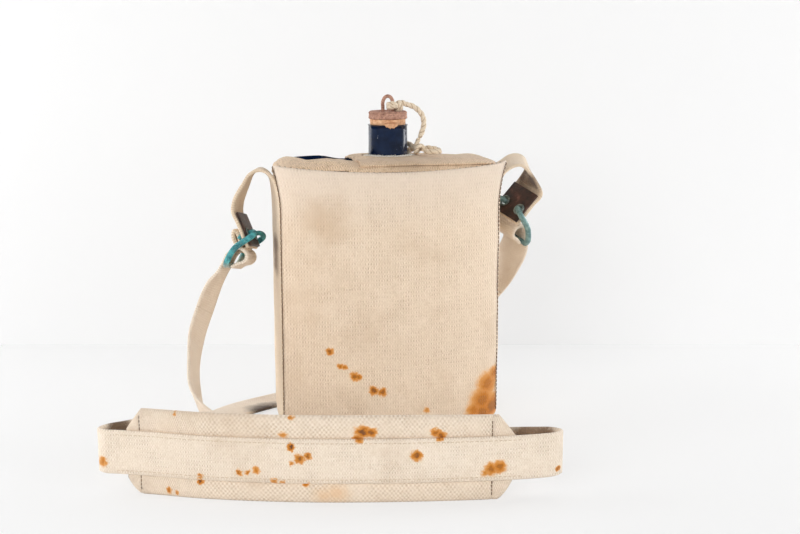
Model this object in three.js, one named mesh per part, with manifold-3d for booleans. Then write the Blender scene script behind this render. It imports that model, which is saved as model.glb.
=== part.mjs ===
// Water bottle in a webbing cover, in millimetres, +Z up, front facing -Y.
import * as THREE from 'three';
import { mergeVertices } from 'three/addons/utils/BufferGeometryUtils.js';
import Module from 'manifold-3d';

const wasm = await Module();
wasm.setup();

// Clearances
const seatGap = 0.3;
const coverGap = 0.6;

// Bottle
const bottleHalfWidth = 74.5;
const bottleHalfDepth = 34;
const bottlePower = 3;
const bowDepth = 12;
const bottleWall = 1;
const baseRounding = 12;
const baseLip = 4;
const wallTop = 173;
const shoulderTop = 183.2;
const shoulderPower = 3.5;
const neckRadius = 13.1;
const neckWall = 1;
const neckRise = 25.4;
const lipBead = 0.6;

// Stopper
const corkDepth = 16;
const corkTaper = 2;
const capRise = 8.1;
const capSkirt = 4.6;
const capPlate = 1;
const eyeWire = 1.2;
const eyeHalfSpan = 3.4;
const eyeRise = 11;
const eyeFoot = 3.6;
const washerRadius = 5.6;
const washerThickness = 0.8;

// Cover
const webThickness = 2.2;
const coverPower = 6;
const bottomRounding = 12;
const cornerLift = 4.2;
const backDrop = 4;
const flareStart = 150;
const flareShare = 0.05;
const gussetBulge = 2;
const flapThickness = 1.4;
const flapPower = 3.2;
const frontFlapRear = -12;
const frontFlapStrip = 14;
const flapStep = -24;

// Clasps
const tabHalfWidth = 13.5;
const leatherThickness = 1.6;
const leatherAbove = 17;
const tabBelowEyelets = 8.5;
const eyeletHalfSpacing = 8;
const eyeletBore = 3;
const eyeletBarrel = 0.5;
const eyeletFlange = 0.8;
const flangeThickness = 0.5;
const hookWire = 1.7;
const hookLength = 23;

// Strap, pad and cord
const strapWidth = 25.4;
const strapThickness = 2;
const padHeight = 52;
const padThickness = 4.5;
const padEdge = 2.4;
const padRim = 6;
const padCorner = 11;
const bandPuff = 1.1;
const cordRadius = 1.8;

// Sizes that follow from those above
const floorGap = webThickness + 0.4;
const insideWidth = bottleHalfWidth + coverGap;
const insideDepth = bottleHalfDepth + coverGap;
const coverHalfWidth = insideWidth + webThickness;
const coverHalfDepth = insideDepth + webThickness;
const seamX = coverHalfWidth - 2.3;
const coverTop = wallTop + 5;
const backOfCover = coverHalfDepth + bowDepth;
const flapEdge = coverTop - 0.7;
const flapCrown = shoulderTop + 2 * flapThickness + 2 * seatGap;
const neckHoleRadius = neckRadius + 2 * cordRadius + 1;
const leatherHalfWidth = tabHalfWidth - 0.9;
const hookHalfWidth = strapWidth / 2 + hookWire + 2.8;
const padMiddle = padHeight / 2;
const strapFlat = strapThickness / 2 + 0.6;
const lipHeight = shoulderTop + neckRise;
const neckHole = neckRadius + seatGap + 0.1;
const neckBore = neckRadius - neckWall;
const capTop = lipHeight + capRise;
const corkTop = capTop - capPlate - seatGap;
const corkBottom = lipHeight - corkDepth;
const corkRadius = neckBore - seatGap;
const capRadius = corkRadius + seatGap + capPlate + 0.2;
const washerTop = corkBottom - seatGap;
const clench = washerTop - washerThickness - seatGap - eyeWire;

const vec = (x, y, z) => new THREE.Vector3(x, y, z);
const bow = (x) => bowDepth * (x / seamX) ** 2;
const lobe = (x, halfWidth, halfDepth, power) => {
  const left = Math.max(0, 1 - Math.abs(x / halfWidth) ** power);
  return halfDepth * left ** (1 / power);
};

// Signed volume of an indexed mesh, used to turn every solid the right way out.
function signedVolume(geometry) {
  const p = geometry.getAttribute('position');
  const index = geometry.getIndex().array;
  let sum = 0;
  for (let i = 0; i < index.length; i += 3) {
    const a = vec().fromBufferAttribute(p, index[i]);
    const b = vec().fromBufferAttribute(p, index[i + 1]);
    const c = vec().fromBufferAttribute(p, index[i + 2]);
    sum += a.dot(b.cross(c)) / 6;
  }
  return sum;
}

// Welds a geometry into one closed mesh that faces outwards.
function welded(geometry) {
  const bare = geometry.clone();
  bare.deleteAttribute('normal');
  bare.deleteAttribute('uv');
  const out = mergeVertices(bare, 1e-4);
  if (signedVolume(out) < 0) {
    const index = out.getIndex();
    for (let i = 0; i < index.count; i += 3) {
      const first = index.getX(i);
      index.setX(i, index.getX(i + 1));
      index.setX(i + 1, first);
    }
  }
  return out;
}

function fromLists(points, faces) {
  const geometry = new THREE.BufferGeometry();
  const flat = points.flatMap((p) => [p.x, p.y, p.z]);
  geometry.setAttribute('position', new THREE.Float32BufferAttribute(flat, 3));
  geometry.setIndex(faces);
  return welded(geometry);
}

// A sheet with thickness: two point grids joined round all four edges.
function sheet(upper, lower, rows, columns) {
  const points = [];
  const faces = [];
  const at = (side, r, c) => side * (rows + 1) * (columns + 1) + r * (columns + 1) + c;
  for (const surface of [upper, lower]) {
    for (let r = 0; r <= rows; r++) {
      for (let c = 0; c <= columns; c++) {
        points.push(surface(r / rows, c / columns, r, c));
      }
    }
  }
  const quad = (a, b, c, d) => faces.push(a, b, c, a, c, d);
  for (let r = 0; r < rows; r++) {
    for (let c = 0; c < columns; c++) {
      quad(at(0, r, c), at(0, r + 1, c), at(0, r + 1, c + 1), at(0, r, c + 1));
      quad(at(1, r, c), at(1, r, c + 1), at(1, r + 1, c + 1), at(1, r + 1, c));
    }
  }
  for (let r = 0; r < rows; r++) {
    quad(at(0, r, 0), at(1, r, 0), at(1, r + 1, 0), at(0, r + 1, 0));
    quad(at(0, r, columns), at(0, r + 1, columns), at(1, r + 1, columns), at(1, r, columns));
  }
  for (let c = 0; c < columns; c++) {
    quad(at(0, 0, c), at(0, 0, c + 1), at(1, 0, c + 1), at(1, 0, c));
    quad(at(0, rows, c), at(1, rows, c), at(1, rows, c + 1), at(0, rows, c + 1));
  }
  return fromLists(points, faces);
}

// A shell skinned over rings that run round it and back inside it.
function ringShell(rings) {
  const count = rings[0].length;
  const faces = [];
  for (let r = 0; r < rings.length; r++) {
    const next = (r + 1) % rings.length;
    for (let i = 0; i < count; i++) {
      const j = (i + 1) % count;
      const [a, b, c, d] = [r * count + i, r * count + j, next * count + j, next * count + i];
      faces.push(a, b, c, a, c, d);
    }
  }
  return fromLists(rings.flat(), faces);
}

function lathe(profile, segments) {
  const turned = new THREE.LatheGeometry(profile.map(([r, z]) => new THREE.Vector2(r, z)), segments);
  turned.rotateX(Math.PI / 2);
  return welded(turned);
}

function disc(radius, segments) {
  const shape = new THREE.Shape();
  for (let i = 0; i < segments; i++) {
    const angle = (i / segments) * Math.PI * 2;
    const [x, y] = [radius * Math.cos(angle), radius * Math.sin(angle)];
    if (i === 0) shape.moveTo(x, y);
    else shape.lineTo(x, y);
  }
  shape.closePath();
  return shape;
}

function tube(points, radius, segments, steps, closed = false) {
  const path = new THREE.CatmullRomCurve3(points, closed);
  const options = { steps, extrudePath: path };
  return welded(new THREE.ExtrudeGeometry(disc(radius, segments), options));
}

function toSolid(geometry) {
  const p = geometry.getAttribute('position').array;
  const mesh = new wasm.Mesh({
    numProp: 3,
    vertProperties: new Float32Array(p),
    triVerts: new Uint32Array(geometry.getIndex().array),
  });
  mesh.merge();
  return new wasm.Manifold(mesh);
}

function toGeometry(solid) {
  const mesh = solid.getMesh();
  const geometry = new THREE.BufferGeometry();
  geometry.setAttribute('position', new THREE.Float32BufferAttribute(mesh.vertProperties, 3));
  geometry.setIndex(new THREE.Uint32BufferAttribute(mesh.triVerts, 1));
  return welded(geometry);
}

function cut(geometry, cutters) {
  let solid = toSolid(geometry);
  for (const cutter of cutters) {
    solid = solid.subtract(toSolid(cutter));
  }
  return toGeometry(solid);
}

// A round bar from a centre, along a direction, half its length each way.
function bar(centre, direction, radius, length, segments = 16) {
  const geometry = new THREE.CylinderGeometry(radius, radius, length, segments);
  const turn = new THREE.Quaternion().setFromUnitVectors(vec(0, 1, 0), direction.clone().normalize());
  geometry.applyQuaternion(turn);
  geometry.translate(centre.x, centre.y, centre.z);
  return welded(geometry);
}

const group = new THREE.Group();
group.name = 'military_water_bottle';

function add(name, geometry, colour, roughness, metalness) {
  geometry.computeVertexNormals();
  const material = new THREE.MeshStandardMaterial({ color: colour, roughness, metalness });
  const mesh = new THREE.Mesh(geometry, material);
  mesh.name = name;
  group.add(mesh);
}

const enamel = '#1c2f47';
const canvas = '#e6d0b4';
const webbing = '#ecd7bd';
const leather = '#4b382e';
const verdigris = '#6f9f9e';
const rust = '#b88e79';
const corkColour = '#cf9c78';
const string = '#e3d3bb';

// Distance from the axis to the wall of a section, looking out at an angle
function wallReach(angle, halfWidth, halfDepth, power) {
  let low = 0;
  let high = halfWidth * 1.5;
  for (let i = 0; i < 40; i++) {
    const middle = (low + high) / 2;
    const x = middle * Math.cos(angle);
    const v = middle * Math.sin(angle) - bow(x);
    const sum = Math.abs(x / halfWidth) ** power + Math.abs(v / halfDepth) ** power;
    if (sum < 1) low = middle;
    else high = middle;
  }
  return low;
}

// Bottle section: a superellipse whose middle is pushed forward
function sectionRing(inset, z, count) {
  const ring = [];
  for (let i = 0; i < count; i++) {
    const turn = (i / count) * Math.PI * 2;
    const angle = Math.atan2(0.75 * Math.sin(turn), Math.cos(turn));
    const reach = wallReach(angle, bottleHalfWidth - inset, bottleHalfDepth - inset, bottlePower);
    ring.push(vec(reach * Math.cos(angle), reach * Math.sin(angle), z));
  }
  return ring;
}

function shoulderRing(inset, share, z, count) {
  return sectionRing(inset, z, count).map((point) => {
    const reach = Math.hypot(point.x, point.y);
    const radius = neckHole + share * (reach - neckHole);
    return vec((point.x / reach) * radius, (point.y / reach) * radius, z);
  });
}

const ringCount = 40;
const shoulderShares = [0.985, 0.93, 0.82, 0.62, 0.35, 0];
const domeHeight = (share, power) => (1 - share ** power) ** (1 / power);

function bottleRings(inset, lift) {
  const rings = [sectionRing(baseRounding + baseLip, floorGap + lift, ringCount)];
  for (const degrees of [0, 30, 60, 90]) {
    const turn = THREE.MathUtils.degToRad(degrees);
    const pull = inset + (baseRounding - inset) * (1 - Math.sin(turn));
    const rise = lift + (baseRounding - lift) * (1 - Math.cos(turn));
    rings.push(sectionRing(pull, floorGap + rise, ringCount));
  }
  rings.push(sectionRing(inset, wallTop - lift, ringCount));
  for (const share of shoulderShares) {
    const z = wallTop + (shoulderTop - wallTop) * domeHeight(share, shoulderPower) - lift;
    rings.push(shoulderRing(inset, share, z, ringCount));
  }
  return rings;
}

const outerRings = bottleRings(0, 0);
const innerRings = bottleRings(bottleWall, bottleWall).reverse();
add('bottle_body', ringShell([...outerRings, ...innerRings]), enamel, 0.2, 0.1);

const baseOutline = sectionRing(baseRounding + 0.8, 0, ringCount);
const baseShape = new THREE.Shape(baseOutline.map((p) => new THREE.Vector2(p.x, p.y)));
const basePlate = new THREE.ExtrudeGeometry(baseShape, { depth: bottleWall, bevelEnabled: false });
basePlate.translate(0, 0, floorGap + bottleWall + seatGap);
add('bottle_base', welded(basePlate), enamel, 0.25, 0.1);

const flangeTop = shoulderTop - bottleWall - 0.6;
const neckProfile = [
  [neckBore, flangeTop - 1],
  [neckRadius + 3.2, flangeTop - 1],
  [neckRadius + 3.2, flangeTop],
  [neckRadius, flangeTop],
  [neckRadius, lipHeight - 2 * lipBead],
  [neckRadius + 0.8 * lipBead, lipHeight - 1.7 * lipBead],
  [neckRadius + lipBead, lipHeight - lipBead],
  [neckRadius + 0.8 * lipBead, lipHeight - 0.3 * lipBead],
  [neckRadius, lipHeight],
  [neckBore + 0.3, lipHeight],
  [neckBore, lipHeight - 0.4],
  [neckBore, flangeTop - 1],
];
add('bottle_neck', lathe(neckProfile, 28), enamel, 0.18, 0.1);

// Stopper, all of it lifting together
const wireHoles = [-1, 1].map((side) => {
  const middle = vec(side * eyeHalfSpan, 0, (clench + capTop) / 2);
  return bar(middle, vec(0, 0, 1), eyeWire + seatGap, capTop - clench + 20, 12);
});

const corkProfile = [
  [0, corkBottom],
  [corkRadius - corkTaper - 0.6, corkBottom],
  [corkRadius - corkTaper, corkBottom + 0.8],
  [corkRadius, lipHeight],
  [corkRadius + 0.1, corkTop],
  [0, corkTop],
];
add('stopper_cork', cut(lathe(corkProfile, 28), wireHoles), corkColour, 0.85, 0);

const capProfile = [
  [0, capTop - capPlate],
  [capRadius - capPlate, capTop - capPlate],
  [capRadius - capPlate, capTop - capSkirt],
  [capRadius, capTop - capSkirt],
  [capRadius, capTop - 0.8],
  [capRadius - 0.7, capTop],
  [0, capTop],
];
add('stopper_cap', cut(lathe(capProfile, 28), wireHoles), rust, 0.8, 0.5);

const washerProfile = [
  [0, washerTop - washerThickness],
  [washerRadius, washerTop - washerThickness],
  [washerRadius, washerTop],
  [0, washerTop],
];
add('stopper_bottom_washer', cut(lathe(washerProfile, 20), wireHoles), rust, 0.7, 0.6);

const eyeHalf = [
  [eyeHalfSpan + eyeFoot, clench],
  [eyeHalfSpan + 0.44 * eyeFoot, clench],
  [eyeHalfSpan + 0.08 * eyeFoot, clench + eyeWire / 3],
  [eyeHalfSpan, clench + 1.33 * eyeWire],
  [eyeHalfSpan, (clench + corkTop) / 2],
  [eyeHalfSpan, corkTop],
  [eyeHalfSpan, capTop + 0.27 * eyeRise],
  [1.06 * eyeHalfSpan, capTop + 0.55 * eyeRise],
  [0.76 * eyeHalfSpan, capTop + 0.8 * eyeRise],
];
const eyePoints = [
  ...eyeHalf.map(([x, z]) => vec(-x, 0, z)),
  vec(0, 0, capTop + eyeRise - eyeWire),
  ...eyeHalf.map(([x, z]) => vec(x, 0, z)).reverse(),
];
add('stopper_wire_eye', tube(eyePoints, eyeWire, 6, 38), rust, 0.75, 0.5);

// Cover panel: one web down the front, under the bottom and up the back
const flare = (z) => 1 + flareShare * (Math.max(0, z - flareStart) / (coverTop - flareStart)) ** 2;
const topEdge = (x) => coverTop + cornerLift * (x / seamX) ** 2;

const panelSide = [1, 0.9, 0.82, 0.55, 0.25, 0];
const panelTurn = [20, 45, 70, 90];

// The panel's U-shaped run as [depth, height], from the front top edge to the back one.
function panelRun(depth, rounding, bottom, frontTop, backTop) {
  const half = (side, top) => [
    ...panelSide.map((share) => [side * depth, bottom + rounding + share * (top - bottom - rounding)]),
    ...panelTurn.map((degrees) => {
      const turn = THREE.MathUtils.degToRad(degrees);
      const v = depth - rounding * (1 - Math.cos(turn));
      return [side * v, bottom + rounding * (1 - Math.sin(turn))];
    }),
  ];
  return [...half(-1, frontTop), [0, bottom], ...half(1, backTop).reverse()];
}

function panelSurface(inset) {
  return (run, across, row) => {
    const x = (across * 2 - 1) * seamX;
    const scale = (coverHalfWidth - inset) / coverHalfWidth;
    const depth = lobe(x, coverHalfWidth, coverHalfDepth, coverPower) - inset;
    const rounding = bottomRounding - inset;
    const [v, z] = panelRun(depth, rounding, inset, topEdge(x), coverTop - backDrop)[row];
    const wide = x * scale * (v < 0 ? flare(z) : 1);
    return vec(wide, v + bow(x), z);
  };
}

const panelRows = panelRun(1, 1, 0, 1, 1).length - 1;
const panel = sheet(panelSurface(0), panelSurface(webThickness), panelRows, 16);
add('cover_panel', panel, canvas, 0.95, 0);

// Top flaps, domed between the neck and the inside of the cover
function flapHeight(x, y) {
  const reach = wallReach(Math.atan2(y, x), insideWidth, insideDepth, coverPower);
  const share = (Math.hypot(x, y) - neckRadius) / (reach - neckRadius);
  const dome = domeHeight(Math.min(1, Math.max(0, share)), flapPower);
  return flapEdge + (flapCrown - flapEdge) * dome;
}

function flap(xStart, xEnd, front, rear, drop, rows, columns, ease) {
  const surface = (extra) => (along, across) => {
    const x = xStart + along * (xEnd - xStart);
    const y = front(x) + ease(across) * (rear(x) - front(x));
    return vec(x, y, flapHeight(x, y) - drop - extra);
  };
  return sheet(surface(0), surface(flapThickness), rows, columns);
}

const flapReach = insideWidth - 1.4;
const frontInside = (x) => bow(x) - lobe(x, insideWidth, insideDepth, coverPower) + 0.5;
const rearInside = (x) => bow(x) + lobe(x, insideWidth, insideDepth, coverPower) - 0.5;
const layer = flapThickness + seatGap;

const stepShare = (x) => THREE.MathUtils.smoothstep(x, flapStep - 5, flapStep + 5);
function frontRear(x) {
  const wide = Math.max(frontFlapRear, frontInside(x) + 4);
  const narrow = frontInside(x) + frontFlapStrip;
  const rear = THREE.MathUtils.lerp(wide, narrow, stepShare(x));
  return Math.min(rear, rearInside(x));
}
// Rows lie closer together where the flaps turn down steeply at their edges.
const closerInFront = (share) => share ** 2;
const closerAtBothEdges = (share) => (1 - Math.cos(share * Math.PI)) / 2;
const frontFlap = flap(-flapReach, flapReach, frontInside, frontRear, layer, 40, 6, closerInFront);
add('front_top_flap', frontFlap, canvas, 0.95, 0);

const neckFront = (x) => frontInside(x) + 2;
const neckFlapBlank = flap(flapStep, flapReach, neckFront, rearInside, 0, 26, 14, closerAtBothEdges);
const neckHoleCut = bar(vec(0, 0, flapCrown), vec(0, 0, 1), neckHoleRadius, 40, 28);
add('neck_flap', cut(neckFlapBlank, [neckHoleCut]), canvas, 0.95, 0);

// A ribbon through stations of [centre, width direction, half width, bulge, way along if it is set].
function ribbon(stations, thickness, columns) {
  const frames = stations.map((station, i) => {
    const before = stations[Math.max(0, i - 1)][0];
    const after = stations[Math.min(stations.length - 1, i + 1)][0];
    const along = station[4] ?? after.clone().sub(before).normalize();
    const across = station[1].clone();
    across.addScaledVector(along, -across.dot(along)).normalize();
    return { across, face: along.clone().cross(across) };
  });
  const surface = (side) => (share, column, row) => {
    const [centre, , half, bulge] = stations[row];
    const { across, face } = frames[row];
    const place = column * 2 - 1;
    const out = side * (thickness / 2) + bulge * (1 - place * place);
    return centre.clone().addScaledVector(across, place * half).addScaledVector(face, out);
  };
  return sheet(surface(1), surface(-1), stations.length - 1, columns);
}

function sampled(points, directions, steps) {
  const path = new THREE.CatmullRomCurve3(points, false, 'centripetal');
  const turns = new THREE.CatmullRomCurve3(directions, false, 'catmullrom');
  const out = [];
  for (let i = 0; i <= steps; i++) {
    out.push([path.getPoint(i / steps), turns.getPoint(i / steps).normalize()]);
  }
  return out;
}

// Each side's clasp: where its eyelets are, and which way tab and hook hang from them
// Places are [out from the cover's side, y, up from the cover's top edge].
const claspSides = {
  left: {
    side: -1,
    eyeletPlace: [18.2, 9.5, -45],
    across: vec(-0.304, -0.931, 0.202),
    tabDown: vec(0.338, -0.304, -0.891),
    hookDown: vec(-0.5, -0.06, -0.865),
    arch: [[0.9, 12.2, -5], [7.7, 13, -0.6], [13.4, 14, -2.8], [18.4, 14.8, -11.4], [23.2, 15.2, -22]],
  },
  right: {
    side: 1,
    eyeletPlace: [17.4, 17, -31.8],
    across: vec(0.4, -0.87, -0.29),
    tabDown: vec(-0.66, -0.05, -0.75),
    hookDown: vec(0.07, 0.34, -0.93),
    arch: [[0.9, 12.2, -6], [5.6, 12.4, -0.4], [12, 13.6, 1.8], [18.8, 15.4, -1.2], [23.6, 16.8, -9.4]],
  },
};

for (const clasp of Object.values(claspSides)) {
  const { across, tabDown, hookDown, side } = clasp;
  across.normalize();
  clasp.fromCover = ([out, y, up]) => vec(side * (coverHalfWidth + out), y, coverTop + up);
  clasp.eyelets = clasp.fromCover(clasp.eyeletPlace);
  tabDown.addScaledVector(across, -tabDown.dot(across)).normalize();
  hookDown.addScaledVector(across, -hookDown.dot(across)).normalize();
  clasp.tabFace = tabDown.clone().cross(across).multiplyScalar(side);
  clasp.hookFace = across.clone().cross(hookDown.clone().negate()).multiplyScalar(side);
  const onTab = (w, down, out) => clasp.eyelets.clone().addScaledVector(across, w)
    .addScaledVector(tabDown, down).addScaledVector(clasp.tabFace, out);
  const onHook = (w, down, out) => clasp.eyelets.clone().addScaledVector(across, w)
    .addScaledVector(hookDown, down).addScaledVector(clasp.hookFace, out);
  Object.assign(clasp, { onTab, onHook });
}

const seamDepth = lobe(seamX, coverHalfWidth, coverHalfDepth, coverPower);
const gussetHalfWidth = seamDepth - webThickness - seatGap;

// Side strips, each rounded at the foot and running on into its tab
const gussetX = seamX + seatGap - webThickness / 2;
const stripFoot = webThickness + coverGap;
const footRounding = bottomRounding - webThickness;

function stripHalf(z) {
  const down = Math.max(0, footRounding - (z - webThickness));
  const pull = footRounding - Math.sqrt(footRounding ** 2 - down ** 2);
  return gussetHalfWidth - pull;
}

const leatherFace = webThickness / 2 + seatGap;
const leatherTop = leatherFace + leatherThickness;

for (const [name, clasp] of Object.entries(claspSides)) {
  const { side, across, onTab, onHook } = clasp;
  const near = vec(0, -1, 0);
  const stations = [];
  for (const z of [stripFoot, 4.2, 6.5, 9.5, 13, 60, 110, 145]) {
    stations.push([vec(side * gussetX, bowDepth, z), near, stripHalf(z), side * gussetBulge]);
  }
  const tabPoints = [
    vec(side * gussetX, bowDepth, 145),
    vec(side * gussetX * flare(162), bowDepth, 162),
    ...clasp.arch.map(clasp.fromCover),
    onTab(0, -leatherAbove, 0),
    onTab(0, -leatherAbove * 0.55, 0),
    onTab(0, 0, 0),
    onTab(0, tabBelowEyelets, 0),
  ];
  const mix = (t) => near.clone().lerp(across, t);
  const tabTurns = [near, near, ...[0.1, 0.25, 0.45, 0.7, 0.9, 1, 1, 1, 1].map(mix)];
  const tab = sampled(tabPoints, tabTurns, 26);
  tab.slice(1).forEach(([centre, turn], i) => {
    const fade = THREE.MathUtils.smoothstep(i, 0, 8);
    const half = THREE.MathUtils.lerp(gussetHalfWidth, tabHalfWidth, fade);
    stations.push([centre, turn, half, side * gussetBulge * (1 - fade)]);
  });
  const eyeletPlaces = [-1, 1].map((end) => onTab(end * eyeletHalfSpacing, 0, 0));
  const holeRadius = eyeletBore + eyeletBarrel + seatGap;
  const holes = eyeletPlaces.map((place) => bar(place, clasp.tabFace, holeRadius, 16, 16));
  add(`${name}_side_strip`, cut(ribbon(stations, webThickness, 4), holes), webbing, 0.95, 0);

  // Leather patch on the inner face of the tab
  const patchStations = [-leatherAbove + 1.5, -9, 0, tabBelowEyelets].map((down) => {
    const middle = onTab(0, down, leatherFace + leatherThickness / 2);
    return [middle, across, leatherHalfWidth, 0];
  });
  const patch = ribbon(patchStations, leatherThickness, 2);
  add(`${name}_leather_patch`, cut(patch, holes), leather, 0.7, 0);

  // Eyelets: a barrel through web and leather with a flange on each face
  const low = -webThickness / 2 - seatGap;
  const high = leatherTop + seatGap;
  const barrel = eyeletBore + eyeletBarrel;
  const rim = barrel + eyeletFlange;
  const eyeletProfile = [
    [eyeletBore + 0.2, low - flangeThickness],
    [rim, low - flangeThickness],
    [rim, low],
    [barrel, low],
    [barrel, high],
    [rim, high],
    [rim, high + flangeThickness],
    [eyeletBore + 0.2, high + flangeThickness],
    [eyeletBore, high],
    [eyeletBore, low],
    [eyeletBore + 0.2, low - flangeThickness],
  ];
  const stand = new THREE.Quaternion().setFromUnitVectors(vec(0, 0, 1), clasp.tabFace);
  ['rear', 'front'].forEach((end, i) => {
    const eyelet = lathe(eyeletProfile, 12);
    eyelet.applyQuaternion(stand);
    eyelet.translate(eyeletPlaces[i].x, eyeletPlaces[i].y, eyeletPlaces[i].z);
    add(`${name}_eyelet_${end}`, eyelet, verdigris, 0.6, 0.7);
  });

  // Double hook in one bent wire: each prong goes through its eyelet from the leather side
  const middleOfHole = (low + high) / 2;
  const halfHook = (end) => [
    onTab(end * eyeletHalfSpacing, 2.4, low - 4.4),
    onTab(end * eyeletHalfSpacing, 0.6, low - 2.4),
    onTab(end * eyeletHalfSpacing, 0, middleOfHole - 1.5),
    onTab(end * eyeletHalfSpacing, 0, middleOfHole + 1.5),
    onTab(end * (eyeletHalfSpacing + 0.4), 0.2, leatherTop + 2.9),
    onTab(end * (eyeletHalfSpacing + 3.2), 1.4, leatherTop + 4.6),
    onTab(end * (hookHalfWidth - 1.6), 3.4, leatherTop + 3.6),
    onHook(end * (hookHalfWidth - 0.2), 8.5, 1),
    onHook(end * hookHalfWidth, 13, 0),
    onHook(end * hookHalfWidth, hookLength - 3.6, 0),
    onHook(end * (hookHalfWidth - 2.4), hookLength, 0),
    onHook(end * (hookHalfWidth - 6), hookLength, 0),
  ];
  const hookPoints = [...halfHook(1), onHook(0, hookLength, 0), ...halfHook(-1).reverse()];
  add(`${name}_double_hook`, tube(hookPoints, hookWire, 6, 60), verdigris, 0.55, 0.7);
}

// Strap: the rolled end round each base bar, as [out, up] from the bar
const barClear = hookWire + seatGap + strapThickness / 2;
const rolledEnd = [
  [barClear + 0.4, 0.4],
  [5.8, 4.2],
  [8.8, 7],
  [9.6, 10.4],
  [7.6, 13.4],
  [3.6, 14.2],
  [-0.4, 12.4],
  [-barClear - 0.1, 7],
  [-barClear, 0],
  [-barClear - 0.3, -7],
];

function clasped(clasp) {
  return rolledEnd.map(([out, up]) => clasp.onHook(0, hookLength - up, out));
}

// The loose run of the strap, left hook to right hook, as [x, y, z, width direction].
const looseRun = [
  [-118.5, 9.5, 100, [-0.28, -0.94, 0.2]],
  [-125.5, 6, 84, [-0.25, -0.95, 0.2]],
  [-130.5, 0, 67, [-0.25, -0.9, 0.35]],
  [-133, -10, 50, [-0.3, -0.75, 0.55]],
  [-132.5, -24, 35, [-0.25, -0.4, 0.85]],
  [-130, -44, 25, [-0.1, -0.15, 1]],
  [-123, -68, 20, [0, 0, 1]],
  [-108, -92, 19, [0, 0, 1]],
  [-84, -112, 21, [0, 0, 1]],
  [-50, -127, 24, [0, 0, 1]],
  [-10, -138, padMiddle, [0, 0, 1]],
  [32, -147, padMiddle, [0, 0, 1]],
  [57, -151, padMiddle, [0, 0, 1]],
  [69, -154, padMiddle, [0, 0, 1]],
  [73, -158.6, padMiddle, [0, 0, 1]],
  [68, -163, padMiddle, [0, 0, 1]],
  [54, -164.4, padMiddle, [0, 0, 1]],
  [29, -163, padMiddle, [0, 0, 1]],
  [-23, -156.5, padMiddle, [0, 0, 1]],
  [-80, -145.5, padMiddle, [0, 0, 1]],
  [-136, -128, padMiddle, [0, 0, 1]],
  [-164, -115.5, padMiddle, [0, 0, 1]],
  [-182, -108.5, padMiddle, [0, 0, 1]],
  [-191, -105, padMiddle, [0, 0, 1]],
  [-193.5, -100.5, padMiddle, [0, 0, 1]],
  [-189, -95.5, padMiddle, [0, 0, 1]],
  [-178, -88, padMiddle - 1, [0, 0, 1]],
  [-168, -68, 18, [-0.4, 0.1, 0.9]],
  [-158, -42, 10, [-0.8, 0.3, 0.5]],
  [-144, -14, strapFlat + 1.6, [-0.9, 0.45, 0.05]],
  [-124, 14, strapFlat + 0.1, [-0.7, 0.7, 0]],
  [-102, 38, strapFlat + 0.1, [-0.6, 0.8, 0]],
  [-76, backOfCover + 6.5, strapFlat + 0.1, [-0.3, 0.95, 0]],
  [-42, backOfCover + 11, 7, [-0.05, 1, 0]],
  [0, backOfCover + 11, 22, [-0.05, 1, 0.05]],
  [42, backOfCover + 10, 42, [-0.15, 0.97, 0.1]],
  [72, backOfCover + 6, 64, [-0.25, 0.92, 0.15]],
  [89, 47, 86, [-0.35, 0.9, 0.22]],
  [97, 36, 106, [-0.4, 0.87, 0.28]],
];

const strapPoints = [
  ...clasped(claspSides.left),
  ...looseRun.map(([x, y, z]) => vec(x, y, z)),
  ...clasped(claspSides.right).reverse(),
];
const strapTurns = [
  ...rolledEnd.map(() => claspSides.left.across.clone()),
  ...looseRun.map(([, , , turn]) => vec(...turn)),
  ...rolledEnd.map(() => claspSides.right.across.clone().negate()),
];
// The strap in three lengths: each rolled end, which bends with its hook, and the run between them
const stepsPerPoint = 3;
const strapSteps = (strapPoints.length - 1) * stepsPerPoint;
const strapStations = sampled(strapPoints, strapTurns, strapSteps).map(([centre, turn], i, all) => {
  const before = all[Math.max(0, i - 1)][0];
  const after = all[Math.min(strapSteps, i + 1)][0];
  return [centre, turn, strapWidth / 2, 0, after.clone().sub(before).normalize()];
});
const leftCut = (rolledEnd.length + 1) * stepsPerPoint;
const rightCut = strapSteps - leftCut;

// A length of the strap, its cut ends drawn in by half the gap to the next length.
function strapLength(first, last) {
  const stations = strapStations.slice(first, last + 1);
  const drawnIn = ([centre, turn, half, bulge, along], reach) => {
    return [centre.clone().addScaledVector(along, reach), turn, half, bulge, along];
  };
  if (first > 0) stations[0] = drawnIn(stations[0], seatGap / 2);
  if (last < strapSteps) stations[last - first] = drawnIn(stations[last - first], -seatGap / 2);
  return ribbon(stations, strapThickness, 1);
}
add('left_strap_end', strapLength(0, leftCut), webbing, 0.95, 0);
add('shoulder_strap', strapLength(leftCut, rightCut), webbing, 0.95, 0);
add('right_strap_end', strapLength(rightCut, strapSteps), webbing, 0.95, 0);

// Pad: stands on its lower edge behind the strap, its four corners cut away
const padLead = strapThickness / 2 + seatGap + padThickness / 2;
const padLine = new THREE.CatmullRomCurve3(
  looseRun.slice(16, 23).map(([x, y]) => vec(x, y, 0)),
  false,
  'centripetal',
);
const padStart = 0.13;
const padEnd = 0.965;
const padLength = padLine.getLength() * (padEnd - padStart);
const padRows = 28;
const padColumns = 12;
const bandStart = strapWidth / 2 + seatGap;

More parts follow.
